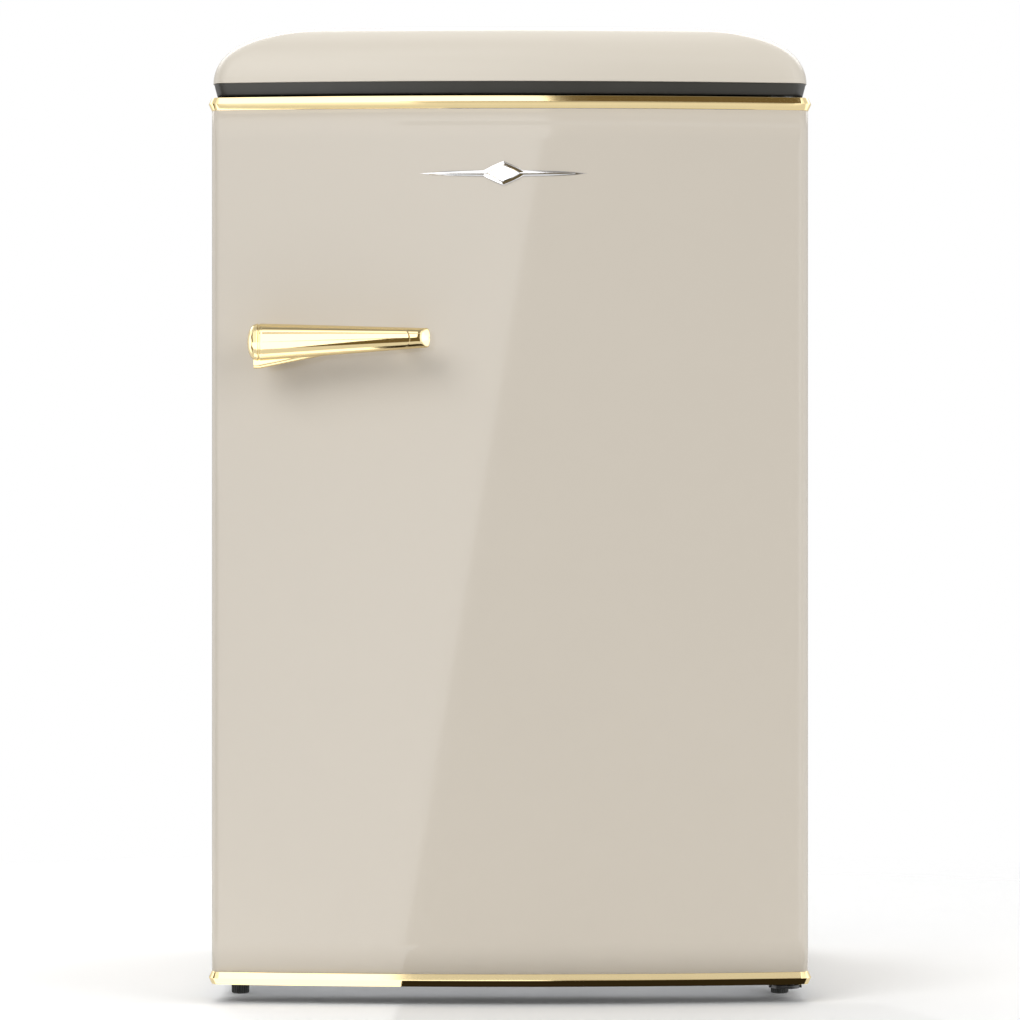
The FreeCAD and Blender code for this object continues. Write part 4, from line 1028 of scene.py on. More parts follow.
class FRIDGE_OT_handle(BuildOperator):
    """Builds the tapered handle: body with a domed wide end, face plate, slanted tip, blade and pedestals"""

    bl_idname = "fridge.handle"
    bl_label = "Handle"

    def body_ring(self, share, scale=1.0, bulge=0.0, slant=0.0, steps=72):
        centre, deep, tall = handle_section(share)
        ring = []
        for i in range(steps):
            turn = 2 * PI * i / steps
            u, v = math.cos(turn), math.sin(turn)
            y, z = leaned(centre, deep * scale * u, tall * scale * v, share)
            x = centre.x + bulge * v * v + slant * (min(0.0, y - centre.y) - 1.5 * MM * (v * scale) ** 2)
            ring.append((x, y, z))
        return ring

    def build(self):
        low, high = node_box("handle_bar")
        length = high.x - low.x
        cap = 8.6 * MM
        rings = [self.body_ring(0.0, 0.02)]
        for i in range(1, 15):
            turn = PI / 2 * i / 15
            rings.append(self.body_ring(cap * (1 - math.cos(turn)) / length, 0.97 * math.sin(turn)))
        for along, scale in ((8.7, 0.985), (9.2, 1.0), (9.9, 1.0), (10.3, 0.965), (10.8, 0.955),
                             (11.4, 0.965), (11.8, 1.0)):
            rings.append(self.body_ring(along * MM / length, scale))
        body_from = 12.2 * MM / length
        body_to = 1 - 1.2 * MM / length
        for i in range(25):
            blend = i / 24
            share = body_from + (body_to - body_from) * blend
            slant = 1.05 * max(0.0, (blend - 0.90) / 0.10)
            rings.append(self.body_ring(share, 1.0, 0.0, slant))
        for up, scale in ((0.35, 0.985), (0.8, 0.93), (1.0, 0.86), (1.0, 0.60), (1.0, 0.30), (1.0, 0.04)):
            share = body_to + (1 - body_to) * up
            rings.append(self.body_ring(share, scale, 0.0, 1.05))
        body = loft("handle_body", rings)
        add_piece("handle_body", body, "door", "gold_plating", ["handle_bar"], 28)
        self.face_plate()
        self.blade()
        self.pedestals()

    def face_plate(self):
        """A thin plate let into the front of the bar, square at the wide end and round at the tip."""
        first, last = 0.082, 0.892
        round_from = 0.855
        across, along = 24, 80
        lift = 0.30 * MM
        points, faces = [], []
        for j in range(along + 1):
            t = j / along
            for i in range(across + 1):
                side = 2 * i / across - 1
                reach = round_from + (last - round_from) * math.sqrt(max(0.0, 1 - abs(side) ** 2.4))
                share = first + (reach - first) * t
                centre, deep, tall = handle_section(share)
                turn = math.asin(0.80) * side
                y, z = leaned(centre, (deep + lift) * math.cos(turn), (tall + lift) * math.sin(turn), share)
                points.append((centre.x - 1.2 * MM * (1 - side * side) * (1 - t), y, z))
        for j in range(along):
            for i in range(across):
                a = j * (across + 1) + i
                faces.append((a, a + 1, a + across + 2, a + across + 1))
        mesh = mesh_from("handle_face_plate", points, faces)
        for polygon in mesh.polygons:
            if polygon.normal.y > 0:
                polygon.flip()
        plate = add_piece("handle_face_plate", mesh, "door", "gold_plating", (), 50)
        thicken(plate, "Plate", 0.8 * MM)
        bevel = plate.modifiers.new("Plate edge", "BEVEL")
        bevel.width = 0.25 * MM
        bevel.segments = 2
        bevel.limit_method = "ANGLE"

    def blade(self):
        """The lever behind the bar, lower than it at the wide end and flush with it near the tip."""
        rings = []
        for i in range(25):
            share = 0.035 + 0.84 * i / 24
            centre, deep, tall = handle_section(share)
            drop = (8.4 * max(0.0, 1 - share / 0.48) - 1.6 * min(1.0, share / 0.48)) * MM
            rise = 0.86 * tall
            back = centre.y + deep * 0.96
            front = centre.y + deep * 0.05
            low_z = centre.z - tall - drop
            outline = rounded_rectangle(front, back, low_z, centre.z + rise, min(4.5 * MM, deep * 0.40), 5)
            grow = 1.0 if i else 0.94
            mid_y, mid_z = (front + back) / 2, (low_z + centre.z + rise) / 2
            rings.append([(centre.x, mid_y + (y - mid_y) * grow, mid_z + (z - mid_z) * grow)
                          for y, z in outline])
        add_piece("handle_blade", loft("handle_blade", rings), "door", "gold_plating", (), 40)

    def pedestals(self):
        """Two waisted feet from the blade to the door, each on a flat collar."""
        feet = []
        power = 2 / 3.2
        radius = bow_radius()
        skin_low, _ = node_box("door_skin")
        for share, wide, tall_half in ((0.13, 14.0, 11.5), (0.865, 8.0, 5.6)):
            centre, deep, _ = handle_section(share)
            x, z = centre.x, centre.z - 0.5 * MM
            skin = skin_low.y + radius - math.sqrt(radius ** 2 - x ** 2)
            tip = centre.y + deep * 0.55
            rings = []
            for depth, grow in ((0.0, 1.22), (0.04, 1.22), (0.07, 1.16), (0.12, 1.02), (0.3, 0.93),
                                (0.6, 0.88), (0.85, 0.92), (1.0, 1.0)):
                y = skin + (tip - skin) * depth + (0.8 * MM if depth == 0 else 0)
                ring = []
                for i in range(48):
                    turn = 2 * PI * i / 48
                    u, v = squared(math.cos(turn), power), squared(math.sin(turn), power)
                    ring.append((x + wide * MM * grow * u, y, z + tall_half * MM * grow * v))
                rings.append(ring)
            feet.append(loft("foot", rings))
        mesh = join_meshes("handle_pedestals", feet)
        add_piece("handle_pedestals", mesh, "door", "gold_plating", ["handle_posts"], 40)


class FRIDGE_OT_badge(BuildOperator):
    """Builds the plain badge: a slim ridge-backed bar with a faceted lozenge"""

    bl_idname = "fridge.badge"
    bl_label = "Badge"

    def build(self):
        low, high = node_box("front_badge")
        skin_low, _ = node_box("door_skin")
        radius = bow_radius()
        mid_x, mid_z = (low.x + high.x) / 2, (low.z + high.z) / 2
        half_long, half_tall = (high.x - low.x) / 2, (high.z - low.z) / 2

        def skin(x):
            return skin_low.y + radius - math.sqrt(radius ** 2 - x ** 2)

        bar = []
        steps = 64
        for i in range(steps + 1):
            t = 2 * i / steps - 1
            x = mid_x + half_long * t
            tall = 3.0 * MM * max(0.04, 1 - abs(t) ** 6) * (0.55 + 0.45 * (1 - abs(t)))
            lift = 2.0 * MM * max(0.1, 1 - abs(t) ** 8)
            y = skin(x)
            section = ((-0.3 * MM, -1), (lift * 0.45, -1), (lift * 0.9, -0.45), (lift, 0), (lift * 0.9, 0.45),
                       (lift * 0.45, 1), (-0.3 * MM, 1))
            bar.append([(x, y - proud, mid_z + tall * up) for proud, up in section])
        pieces = [loft("bar", bar)]
        for grow, height, wide in ((1.0, 1.9, 22.0), (0.72, 2.6, 16.5), (0.42, 3.0, 10.0)):
            rings = []
            for level, inset in ((-0.4, 1.0), (height * 0.6, 1.0), (height, 0.86)):
                ring = []
                for i in range(48):
                    turn = 2 * PI * i / 48
                    u, v = math.cos(turn), math.sin(turn)
                    power = 1 / (abs(u) + abs(v)) ** 0.82
                    x = mid_x + wide * MM * u * power * inset
                    ring.append((x, skin(x) - level * MM, mid_z + half_tall * grow * v * power * inset))
                rings.append(ring)
            pieces.append(loft("lozenge", rings))
        add_piece("badge_lozenge_bar", join_meshes("badge_lozenge_bar", pieces), "door", "badge_chrome",
                  ["front_badge"], 30)


class FRIDGE_OT_door_inside(BuildOperator):
    """Builds the vacuum-formed inner panel, the bellows gasket and the three door racks"""

    bl_idname = "fridge.door_inside"
    bl_label = "Door inside"

    def build(self):
        self.panel()
        self.gasket()
        self.racks()

    def panel(self):
        low, high = node_box("door_liner")
        _, rack_high = node_box("door_rack_lower")
        face = low.y + 1.5 * MM
        reach = high.y - face
        dyke_in, dyke_out = rack_high.x + 0.5 * MM, 214 * MM
        dyke_low, dyke_high = 68 * MM, 784 * MM
        lean = 1.3 * MM
        fields = ((190, 380), (494, 620))

        def ramp(value, start, end):
            t = min(1.0, max(0.0, (value - start) / (end - start)))
            return t * t * (3 - 2 * t)

        def height(x, z):
            across = abs(x)
            side = min(ramp(across, dyke_in - 0.2 * MM, dyke_in + 1.6 * MM),
                       ramp(-across, -dyke_out - 2.5 * MM, -dyke_out + 0.5 * MM))
            ends = min(ramp(z, dyke_low, dyke_low + lean), ramp(-z, -dyke_high, -dyke_high + lean))
            ridge = reach * side * ends
            emboss = 0.0
            for floor, top in fields:
                inside = min(ramp(-across, -178 * MM, -172 * MM), ramp(z, floor * MM, (floor + 6) * MM),
                             ramp(-z, -top * MM, -(top - 6) * MM))
                emboss = max(emboss, inside)
            return ridge + 1.1 * MM * emboss * (1 - side)

        xs = sorted({round(s * v, 6) for s in (-1, 1) for v in (
            [high.x - i * 6 * MM for i in range(8)]
            + [dyke_out + d * MM for d in (6, 4, 2.6, 2, 1.4, 0.8, 0.2, -0.4, -1.2, -3)]
            + [dyke_in + d * MM for d in (9, 4, 2.2, 1.5, 1.0, 0.5, 0, -0.4, -2, -6)]
            + [180 * MM, 178 * MM, 176 * MM, 174 * MM, 172 * MM] + [i * 15 * MM for i in range(12)])})
        zs = sorted({round(v, 6) for v in (
            [low.z, high.z, low.z + 10 * MM, high.z - 10 * MM]
            + [low.z + (high.z - low.z) * i / 60 for i in range(61)]
            + [dyke_low + d * MM for d in (-2, 0, 0.4, 0.8, 1.3, 2, 4, 7)]
            + [dyke_high - d * MM for d in (-2, 0, 0.4, 0.8, 1.3, 2, 4, 7)]
            + [(floor + d) * MM for floor, _ in fields for d in (-1, 1, 2, 3, 4, 5, 7)]
            + [(top - d) * MM for _, top in fields for d in (-1, 1, 2, 3, 4, 5, 7)])})
        points = [(x, min(face + height(x, z), high.y), z) for z in zs for x in xs]
        faces = []
        count = len(xs)
        for j in range(len(zs) - 1):
            for i in range(count - 1):
                a = j * count + i
                faces.append((a, a + 1, a + count + 1, a + count))
        mesh = mesh_from("door_inner_panel", points, faces)
        for polygon in mesh.polygons:
            if polygon.normal.y < -0.2:
                polygon.flip()
        ledges = []
        for node in DOOR_RACKS:
            rlow, _ = node_box(node)
            for s in (-1, 1):
                x0, x1 = sorted((s * (dyke_in - 5 * MM), s * (dyke_in + 0.4 * MM)))
                ledges.append(soft_block("ledge", (x0, face, rlow.z - 5 * MM),
                                         (x1, high.y - 6 * MM, rlow.z - 0.05 * MM), 1.2 * MM))
        mesh = join_meshes("door_inner_panel", [mesh] + ledges)
        panel = add_piece("door_inner_panel", mesh, "door", "liner_white", ["door_liner"], 42)
        thicken(panel, "Sheet", 1.2 * MM).use_even_offset = False

    def gasket(self):
        low, high = node_box("door_gasket")
        y0, y1 = low.y, high.y
        depth = y1 - y0
        profile = [(1.0, 0.0), (15.0, 0.0), (16.0, 0.10), (15.6, 0.26), (12.4, 0.30), (11.2, 0.36),
                   (12.6, 0.46), (11.0, 0.56), (12.8, 0.64), (15.2, 0.66), (16.0, 0.74), (15.8, 0.93),
                   (14.6, 1.0), (8.6, 0.985), (7.8, 0.95), (7.0, 0.985), (1.6, 1.0), (0.3, 0.93), (0.0, 0.76),
                   (0.8, 0.66), (3.4, 0.64), (5.0, 0.56), (3.6, 0.46), (5.0, 0.36), (3.8, 0.30), (0.5, 0.26),
                   (0.0, 0.12)]
        shape = [(u * MM, y0 + v * depth) for u, v in profile]
        mesh = frame_sweep("door_seal", low.x, high.x, low.z, high.z, 17 * MM, shape, 10)
        add_piece("door_seal", mesh, "door", "gasket_rubber", ["door_gasket"], 50)

    def racks(self):
        for node in DOOR_RACKS:
            low, high = node_box(node)
            body = tub("rack", low, high, 2.4 * MM, 11 * MM, 1.0 * MM, 3.0 * MM)
            pieces = [body]
            tall = high.z - low.z
            for k in range(3):
                z = low.z + tall * (0.42 + 0.12 * k)
                pieces.append(soft_block(
                    "rib", (low.x + 14 * MM, high.y - 1.2 * MM, z),
                    (high.x - 14 * MM, high.y - 0.1 * MM, z + 2.2 * MM),
                    0.5 * MM))
            pieces.append(soft_block(
                "rail", (low.x + 9 * MM, high.y - 3.4 * MM, high.z - 7 * MM),
                (high.x - 9 * MM, high.y, high.z - 1.5 * MM),
                1.4 * MM))
            name = node.replace("door_rack", "bottle_rack")
            add_piece(name, join_meshes(name, pieces), "door", "clear_plastic", [node], 40)


class FRIDGE_OT_worktop(BuildOperator):
    """Builds the cushion-shaped worktop and the charcoal band below it, whose near-black is partly painted
    shade
    """

    bl_idname = "fridge.worktop"
    bl_label = "Worktop"

    def build(self):
        low, high = node_box("worktop_dome")
        half = (high.x - low.x) / 2
        size = shapes()
        rise = high.z - low.z
        crown = 0.9 * MM
        rings = []

        def ring(shrink, z, extra=0.0):
            outline = plan_points(
                half - size.crown_side * shrink - extra, low.y + size.crown_front * shrink + extra,
                high.y - size.crown_rear * shrink - extra, bow_radius(), 16 * MM + 34 * MM * shrink,
                14 * MM + 10 * MM * shrink)
            rings.append([(x, y, z) for x, y in outline])

        lip = 1.6 * MM
        wall = 3.0 * MM
        ring(0.0, low.z + 6 * MM, wall)
        ring(0.0, low.z + 0.4 * MM, wall)
        ring(0.0, low.z, wall - 0.5 * MM)
        ring(0.0, low.z, lip)
        ring(0.0, low.z + 0.35 * MM, 0.55 * lip)
        ring(0.0, low.z + 1.0 * MM, 0.12 * lip)
        steps = 30
        power = 2 / size.fullness
        first = 0.004
        for i in range(steps + 1):
            turn = first + (PI / 2 - first) * i / steps
            ring(1 - max(0.0, math.cos(turn)) ** power, low.z + (rise - crown) * math.sin(turn) ** power)
        last = rings[-1]
        centre = Vector((0, sum(p[1] for p in last) / len(last), 0))
        base_z = last[0][2]
        for share in (0.94, 0.86, 0.74, 0.58, 0.38, 0.16):
            z = base_z + crown * (1 - share ** 2)
            rings.append([(x * share, centre.y + (y - centre.y) * share, z) for x, y, _ in last])
        mesh = loft("worktop_crown", rings, True, False, True)
        add_piece("worktop_crown", mesh, "cabinet", "worktop_gloss", ["worktop_dome"], 50)
        self.band()

    def band(self):
        low, high = node_box("worktop_underframe")
        half = (high.x - low.x) / 2
        rise = high.z - low.z
        rows = ((0.0, 2.6, 6.0), (0.0, 2.6, 0.0), (0.03, 2.4, 0.0), (0.10, 2.2, 0.0), (0.72, 0.5, 0.0),
                (0.86, 0.2, 0.0), (0.94, 0.0, 0.0), (1.0, 0.0, 0.0), (1.0, 6.0, 0.0))
        rings = []
        for up, inset, extra in rows:
            inset = inset * MM
            back_off = inset + extra * MM
            outline = plan_points(
                half - back_off, low.y + inset * 1.4 + extra * MM, high.y - back_off, bow_radius(),
                14 * MM, 10 * MM)
            rings.append([(x, y, low.z + rise * up) for x, y in outline])
        mesh = loft("worktop_band", rings, True, False, False)
        # The band's near-black finish is partly painted shade for the shade under the worktop's overhang.
        band = add_piece("worktop_band", mesh, "cabinet", "underframe_grey", ["worktop_underframe"], 40)
        thicken(band, "Wall", 1.2 * MM)


class FRIDGE_OT_cabinet(BuildOperator):
    """Dresses the outer wrap, the foam and the panels, and builds the white lining"""

    bl_idname = "fridge.cabinet"
    bl_label = "Cabinet"

    def build(self):
        dress("outer_wrap", 0.45 * MM)
        for node in ("cabinet_foam", "front_lower_rail", "bottom_panel", "back_panel", "foot_inserts",
                     "drain_tube"):
            dress(node, 0.3 * MM)
        self.lining()

    def lining(self):
        low, high = node_box("inner_liner")
        wall = 2 * MM
        front = low.y
        x = high.x - wall
        z0, z1, back = low.z + wall, high.z - wall, high.y - wall
        step_y, step_z = 75 * MM, 250 * MM
        section = [(front, z0), (step_y, z0), (step_y, step_z), (back, step_z), (back, z1), (front, z1)]
        work = bmesh.new()
        left = [work.verts.new((-x, y, z)) for y, z in section]
        right = [work.verts.new((x, y, z)) for y, z in section]
        work.faces.new(left)
        work.faces.new(right[::-1])
        count = len(section)
        for i in range(count - 1):
            work.faces.new((left[i], right[i], right[i + 1], left[i + 1]))
        work.edges.ensure_lookup_table()
        inner = [e for e in work.edges if len(e.link_faces) == 2]
        bmesh.ops.bevel(work, geom=inner, offset=9 * MM, segments=6, profile=0.5, affect="EDGES",
                        clamp_overlap=True)
        bmesh.ops.recalc_face_normals(work, faces=work.faces)
        centre = Vector((0, 0, 0.5))
        if sum((f.calc_center_median() - centre).dot(f.normal) for f in work.faces) > 0:
            bmesh.ops.reverse_faces(work, faces=work.faces)
        mesh = bpy.data.meshes.new("cabinet_lining")
        work.to_mesh(mesh)
        work.free()
        extras = []
        for node in SHELF_PANES:
            glow, _ = node_box(node)
            for s in (-1, 1):
                x0, x1 = sorted((s * 220 * MM, s * (x + 0.5 * MM)))
                extras.append(soft_block(
                    "rib", (x0, glow.y + 6 * MM, glow.z - 6 * MM), (x1, back - 8 * MM, glow.z - 0.05 * MM),
                    2.0 * MM))
        for s in (-1, 1):
            x0, x1 = sorted((s * 150 * MM, s * 170 * MM))
            extras.append(soft_block("runner", (x0, -80 * MM, z0 - 0.4 * MM),
                                     (x1, step_y - 5 * MM, z0 + 1.2 * MM), 0.5 * MM))
        mesh = join_meshes("cabinet_lining", [mesh] + extras)
        lining = add_piece("cabinet_lining", mesh, "cabinet", "liner_white", ["inner_liner"], 42)
        thicken(lining, "Sheet", 1.6 * MM)


class FRIDGE_OT_inside(BuildOperator):
    """Dresses the shelves and the ice box, and builds the drawer and the inner door"""

    bl_idname = "fridge.inside"
    bl_label = "Shelves, drawer and ice box"

    def build(self):
        for node in SHELF_PANES:
            dress(node, 0.8 * MM, 3)
        dress("shelf_edge_profiles", 0.5 * MM)
        dress("evaporator_box", 0.5 * MM)
        dress("evaporator_hangers", 0.8 * MM)
        dress("ice_box_frame", 1.2 * MM, 3)
        self.drawer()
        self.ice_door()

    def drawer(self):
        low, high = node_box("crisper_drawer")
        tub_low = (low.x, low.y + 3 * MM, low.z)
        tub_high = (high.x, high.y, high.z - 4 * MM)
        pieces = [tub("tub", tub_low, tub_high, 2.5 * MM, 12 * MM, 1.5 * MM, 5 * MM)]
        pieces.append(soft_block(
            "front", (low.x, low.y, low.z + 2 * MM), (high.x, low.y + 5.5 * MM, high.z), 2.2 * MM, 4))
        for k in range(5):
            z = low.z + (24 + 9 * k) * MM
            pieces.append(soft_block("rib", (low.x + 30 * MM, low.y, z),
                                     (high.x - 30 * MM, low.y + 1.4 * MM, z + 3 * MM), 0.6 * MM))
        half, middle = 70 * MM, high.z - 23 * MM
        grip = rounded_rectangle(-half, half, middle - 11 * MM, middle + 11 * MM, 9 * MM)
        rings = []
        for proud, shrink in ((0.0, 0.0), (0.1, 1.2), (1.4, 1.6), (1.6, 3.2), (1.0, 4.0), (0.9, 5.0)):
            y = low.y + (1.6 - proud) * MM
            across, upright = 1 - shrink * MM / half, 1 - shrink / 20
            rings.append([(x * across, y, middle + (z - middle) * upright) for x, z in grip])
        pieces.append(loft("grip", rings))
        add_piece("vegetable_drawer", join_meshes("vegetable_drawer", pieces), "crisper", "clear_plastic",
                  ["crisper_drawer"], 40)

    def ice_door(self):
        low, high = node_box("ice_box_door")
        z0, z1 = low.z + 5 * MM, high.z - 5 * MM
        x0, x1 = -212 * MM, 201 * MM
        y0, y1 = low.y, high.y
        rows = [(y1, 4.0), (y1, 1.5), (y1 - 0.6 * MM, 0.4), (y1 - 1.6 * MM, 0.0)]
        # depth behind the front and inset from the edge, in millimetres
        pressed_front = ((2.4, 0.0), (0.8, 0.6), (0.0, 2.6), (0.0, 10.0), (0.3, 11.0),
                         (1.3, 12.0), (1.5, 13.4), (1.5, 17.0), (0.9, 18.5), (0.8, 20.0))
        rows += [(y0 + depth * MM, inset) for depth, inset in pressed_front]
        rings = []
        for y, inset in rows:
            outline = rounded_rectangle(x0 + inset * MM, x1 - inset * MM, z0 + inset * MM, z1 - inset * MM,
                                        max(1.0, 9.0 - inset * 0.4) * MM)
            rings.append([(x, y, z) for x, z in outline])
        pieces = [loft("leaf", rings)]
        pin_x, pin_y = 207 * MM, -60 * MM
        pieces.append(lathe("knuckle",
                            [(0.5 * MM, z0), (5.2 * MM, z0), (6 * MM, z0 + 0.8 * MM), (6 * MM, z1 - 0.8 * MM),
                                        (5.2 * MM, z1), (0.5 * MM, z1)], (pin_x, pin_y, 0), "z", 32))
        pieces.append(lathe("pin", [(0.3 * MM, low.z), (2.1 * MM, low.z), (2.5 * MM, low.z + 0.5 * MM),
                                    (2.5 * MM, high.z - 0.5 * MM), (2.1 * MM, high.z), (0.3 * MM, high.z)],
                            (pin_x, pin_y, 0), "z", 24))
        pieces.append(soft_block("web", (194 * MM, pin_y - 5 * MM, z0 + 1 * MM),
                                 (pin_x, pin_y + 5 * MM, z1 - 1 * MM), 1.0 * MM))
        mid = (z0 + z1) / 2
        pieces.append(soft_block("catch", (x0 + 4 * MM, y0, mid - 24 * MM),
                                 (x0 + 9.5 * MM, y0 + 3.0 * MM, mid + 24 * MM), 1.3 * MM))
        for k in range(7):
            z = mid + (k - 3) * 9 * MM
            pieces.append(soft_block("bar", (x0 + 34 * MM, y0 + 0.1 * MM, z - 1.4 * MM),
                                     (x1 - 34 * MM, y0 + 1.8 * MM, z + 1.4 * MM), 0.6 * MM))
        add_piece("ice_box_leaf", join_meshes("ice_box_leaf", pieces), "ice_door", "white_plastic",
                  ["ice_box_door"], 40)


class FRIDGE_OT_controls(BuildOperator):
    """Dresses the control housing and builds the fluted thermostat dial with its printed dots"""

    bl_idname = "fridge.controls"
    bl_label = "Thermostat, lamp and switch"

    def build(self):
        dress("control_housing", 1.5 * MM, 4)
        dress("lamp_cover", 0.5 * MM)
        dress("led_board", 0.15 * MM)
        dress("door_switch_plunger", 0.6 * MM, 3)
        low, high = node_box("thermostat_knob")
        housing, _ = node_box("control_housing")
        centre_y, centre_z = (low.y + high.y) / 2, (low.z + high.z) / 2
        face = housing.x - 0.4 * MM
        r = (high.z - low.z) / 2
        profile = [(0.4 * MM, high.x), (3.0 * MM, high.x), (3.0 * MM, face), (r - 1.0 * MM, face),
                   (r, face - 0.8 * MM), (r, face - 5.2 * MM), (r - 0.8 * MM, face - 6.0 * MM),
                   (0.80 * r, face - 6.4 * MM), (0.78 * r, face - 8.4 * MM), (0.75 * r, face - 9.0 * MM),
                   (0.4 * MM, face - 9.2 * MM)]
        dial = lathe("dial", profile, (0, centre_y, centre_z), "x", 144, 36, 0.8 * MM, (4, 5))
        bar = soft_block("bar", (low.x, centre_y - 3.4 * MM, centre_z - 14 * MM),
                         (face - 8.6 * MM, centre_y + 3.4 * MM, centre_z + 14 * MM), 1.5 * MM, 4)
        add_piece("thermostat_dial", join_meshes("thermostat_dial", [dial, bar]), "knob", "white_plastic",
                  ["thermostat_knob"], 35)
        mark = soft_block("dial_mark", (low.x, centre_y - 0.7 * MM, centre_z + 3 * MM),
                          (low.x + 0.9 * MM, centre_y + 0.7 * MM, centre_z + 12.6 * MM), 0.2 * MM)
        for vert in mark.vertices:
            vert.co.x -= 0.12 * MM
        add_piece("thermostat_dial_mark", mark, "knob", "white_plastic", (), 35, "dial_ink")
        dots = []
        for k in range(7):
            turn = math.radians(90 - 135 + 45 * k)
            y = centre_y + 24.5 * MM * math.cos(turn)
            z = centre_z + 24.5 * MM * math.sin(turn)
            size = (0.7 + 0.16 * k) * MM
            dots.append(lathe("dot",
                              [(0.1 * MM, 0.3 * MM), (size, 0.3 * MM), (size, -0.06 * MM),
                               (0.1 * MM, -0.08 * MM)],
                              (housing.x, y, z), "x", 20))
        add_piece("thermostat_scale_dots", join_meshes("thermostat_scale_dots", dots), "cabinet",
                  "white_plastic", (), 35, "dial_ink")


class FRIDGE_OT_hinges_feet(BuildOperator):
    """Dresses the hinges and the fasteners, and builds the ribbed levelling feet"""

    bl_idname = "fridge.hinges_feet"
    bl_label = "Hinges and feet"

    def build(self):
        for node in ("upper_hinge", "lower_hinge", "left_foot_plate"):
            dress(node, 0.5 * MM, 3)
        dress("hinge_screws", 0.3 * MM)
        dress("rear_feet", 1.2 * MM, 3)
        for node, body in (("front_foot_left", "foot_left"), ("front_foot_right", "foot_right")):
            low, high = node_box(node)
            x, y = (low.x + high.x) / 2, (low.y + high.y) / 2
            r = (high.x - low.x) / 2
            profile = [(0.5 * MM, 0.0), (r - 1.4 * MM, 0.0), (r - 0.4 * MM, 0.5 * MM), (r, 1.6 * MM),
                       (r, 7.4 * MM), (r - 0.5 * MM, 8.5 * MM), (r - 1.4 * MM, 9.0 * MM),
                       (6.4 * MM, 9.1 * MM), (6.4 * MM, 12.0 * MM), (3.5 * MM, 12.1 * MM)]
            z, turn_in = 12.4, True
            while z < high.z / MM - 0.6:
                profile.append(((3.45 if turn_in else 3.95) * MM, z * MM))
                turn_in = not turn_in
                z += 0.5
            profile += [(3.4 * MM, high.z - 0.4 * MM), (2.8 * MM, high.z), (0.4 * MM, high.z)]
            foot = lathe("foot", profile, (x, y, 0), "z", 96, 24, 0.7 * MM, (3, 4))
            name = node.replace("front_foot", "levelling_foot")
            add_piece(name, foot, body, "black_plastic", [node], 35)


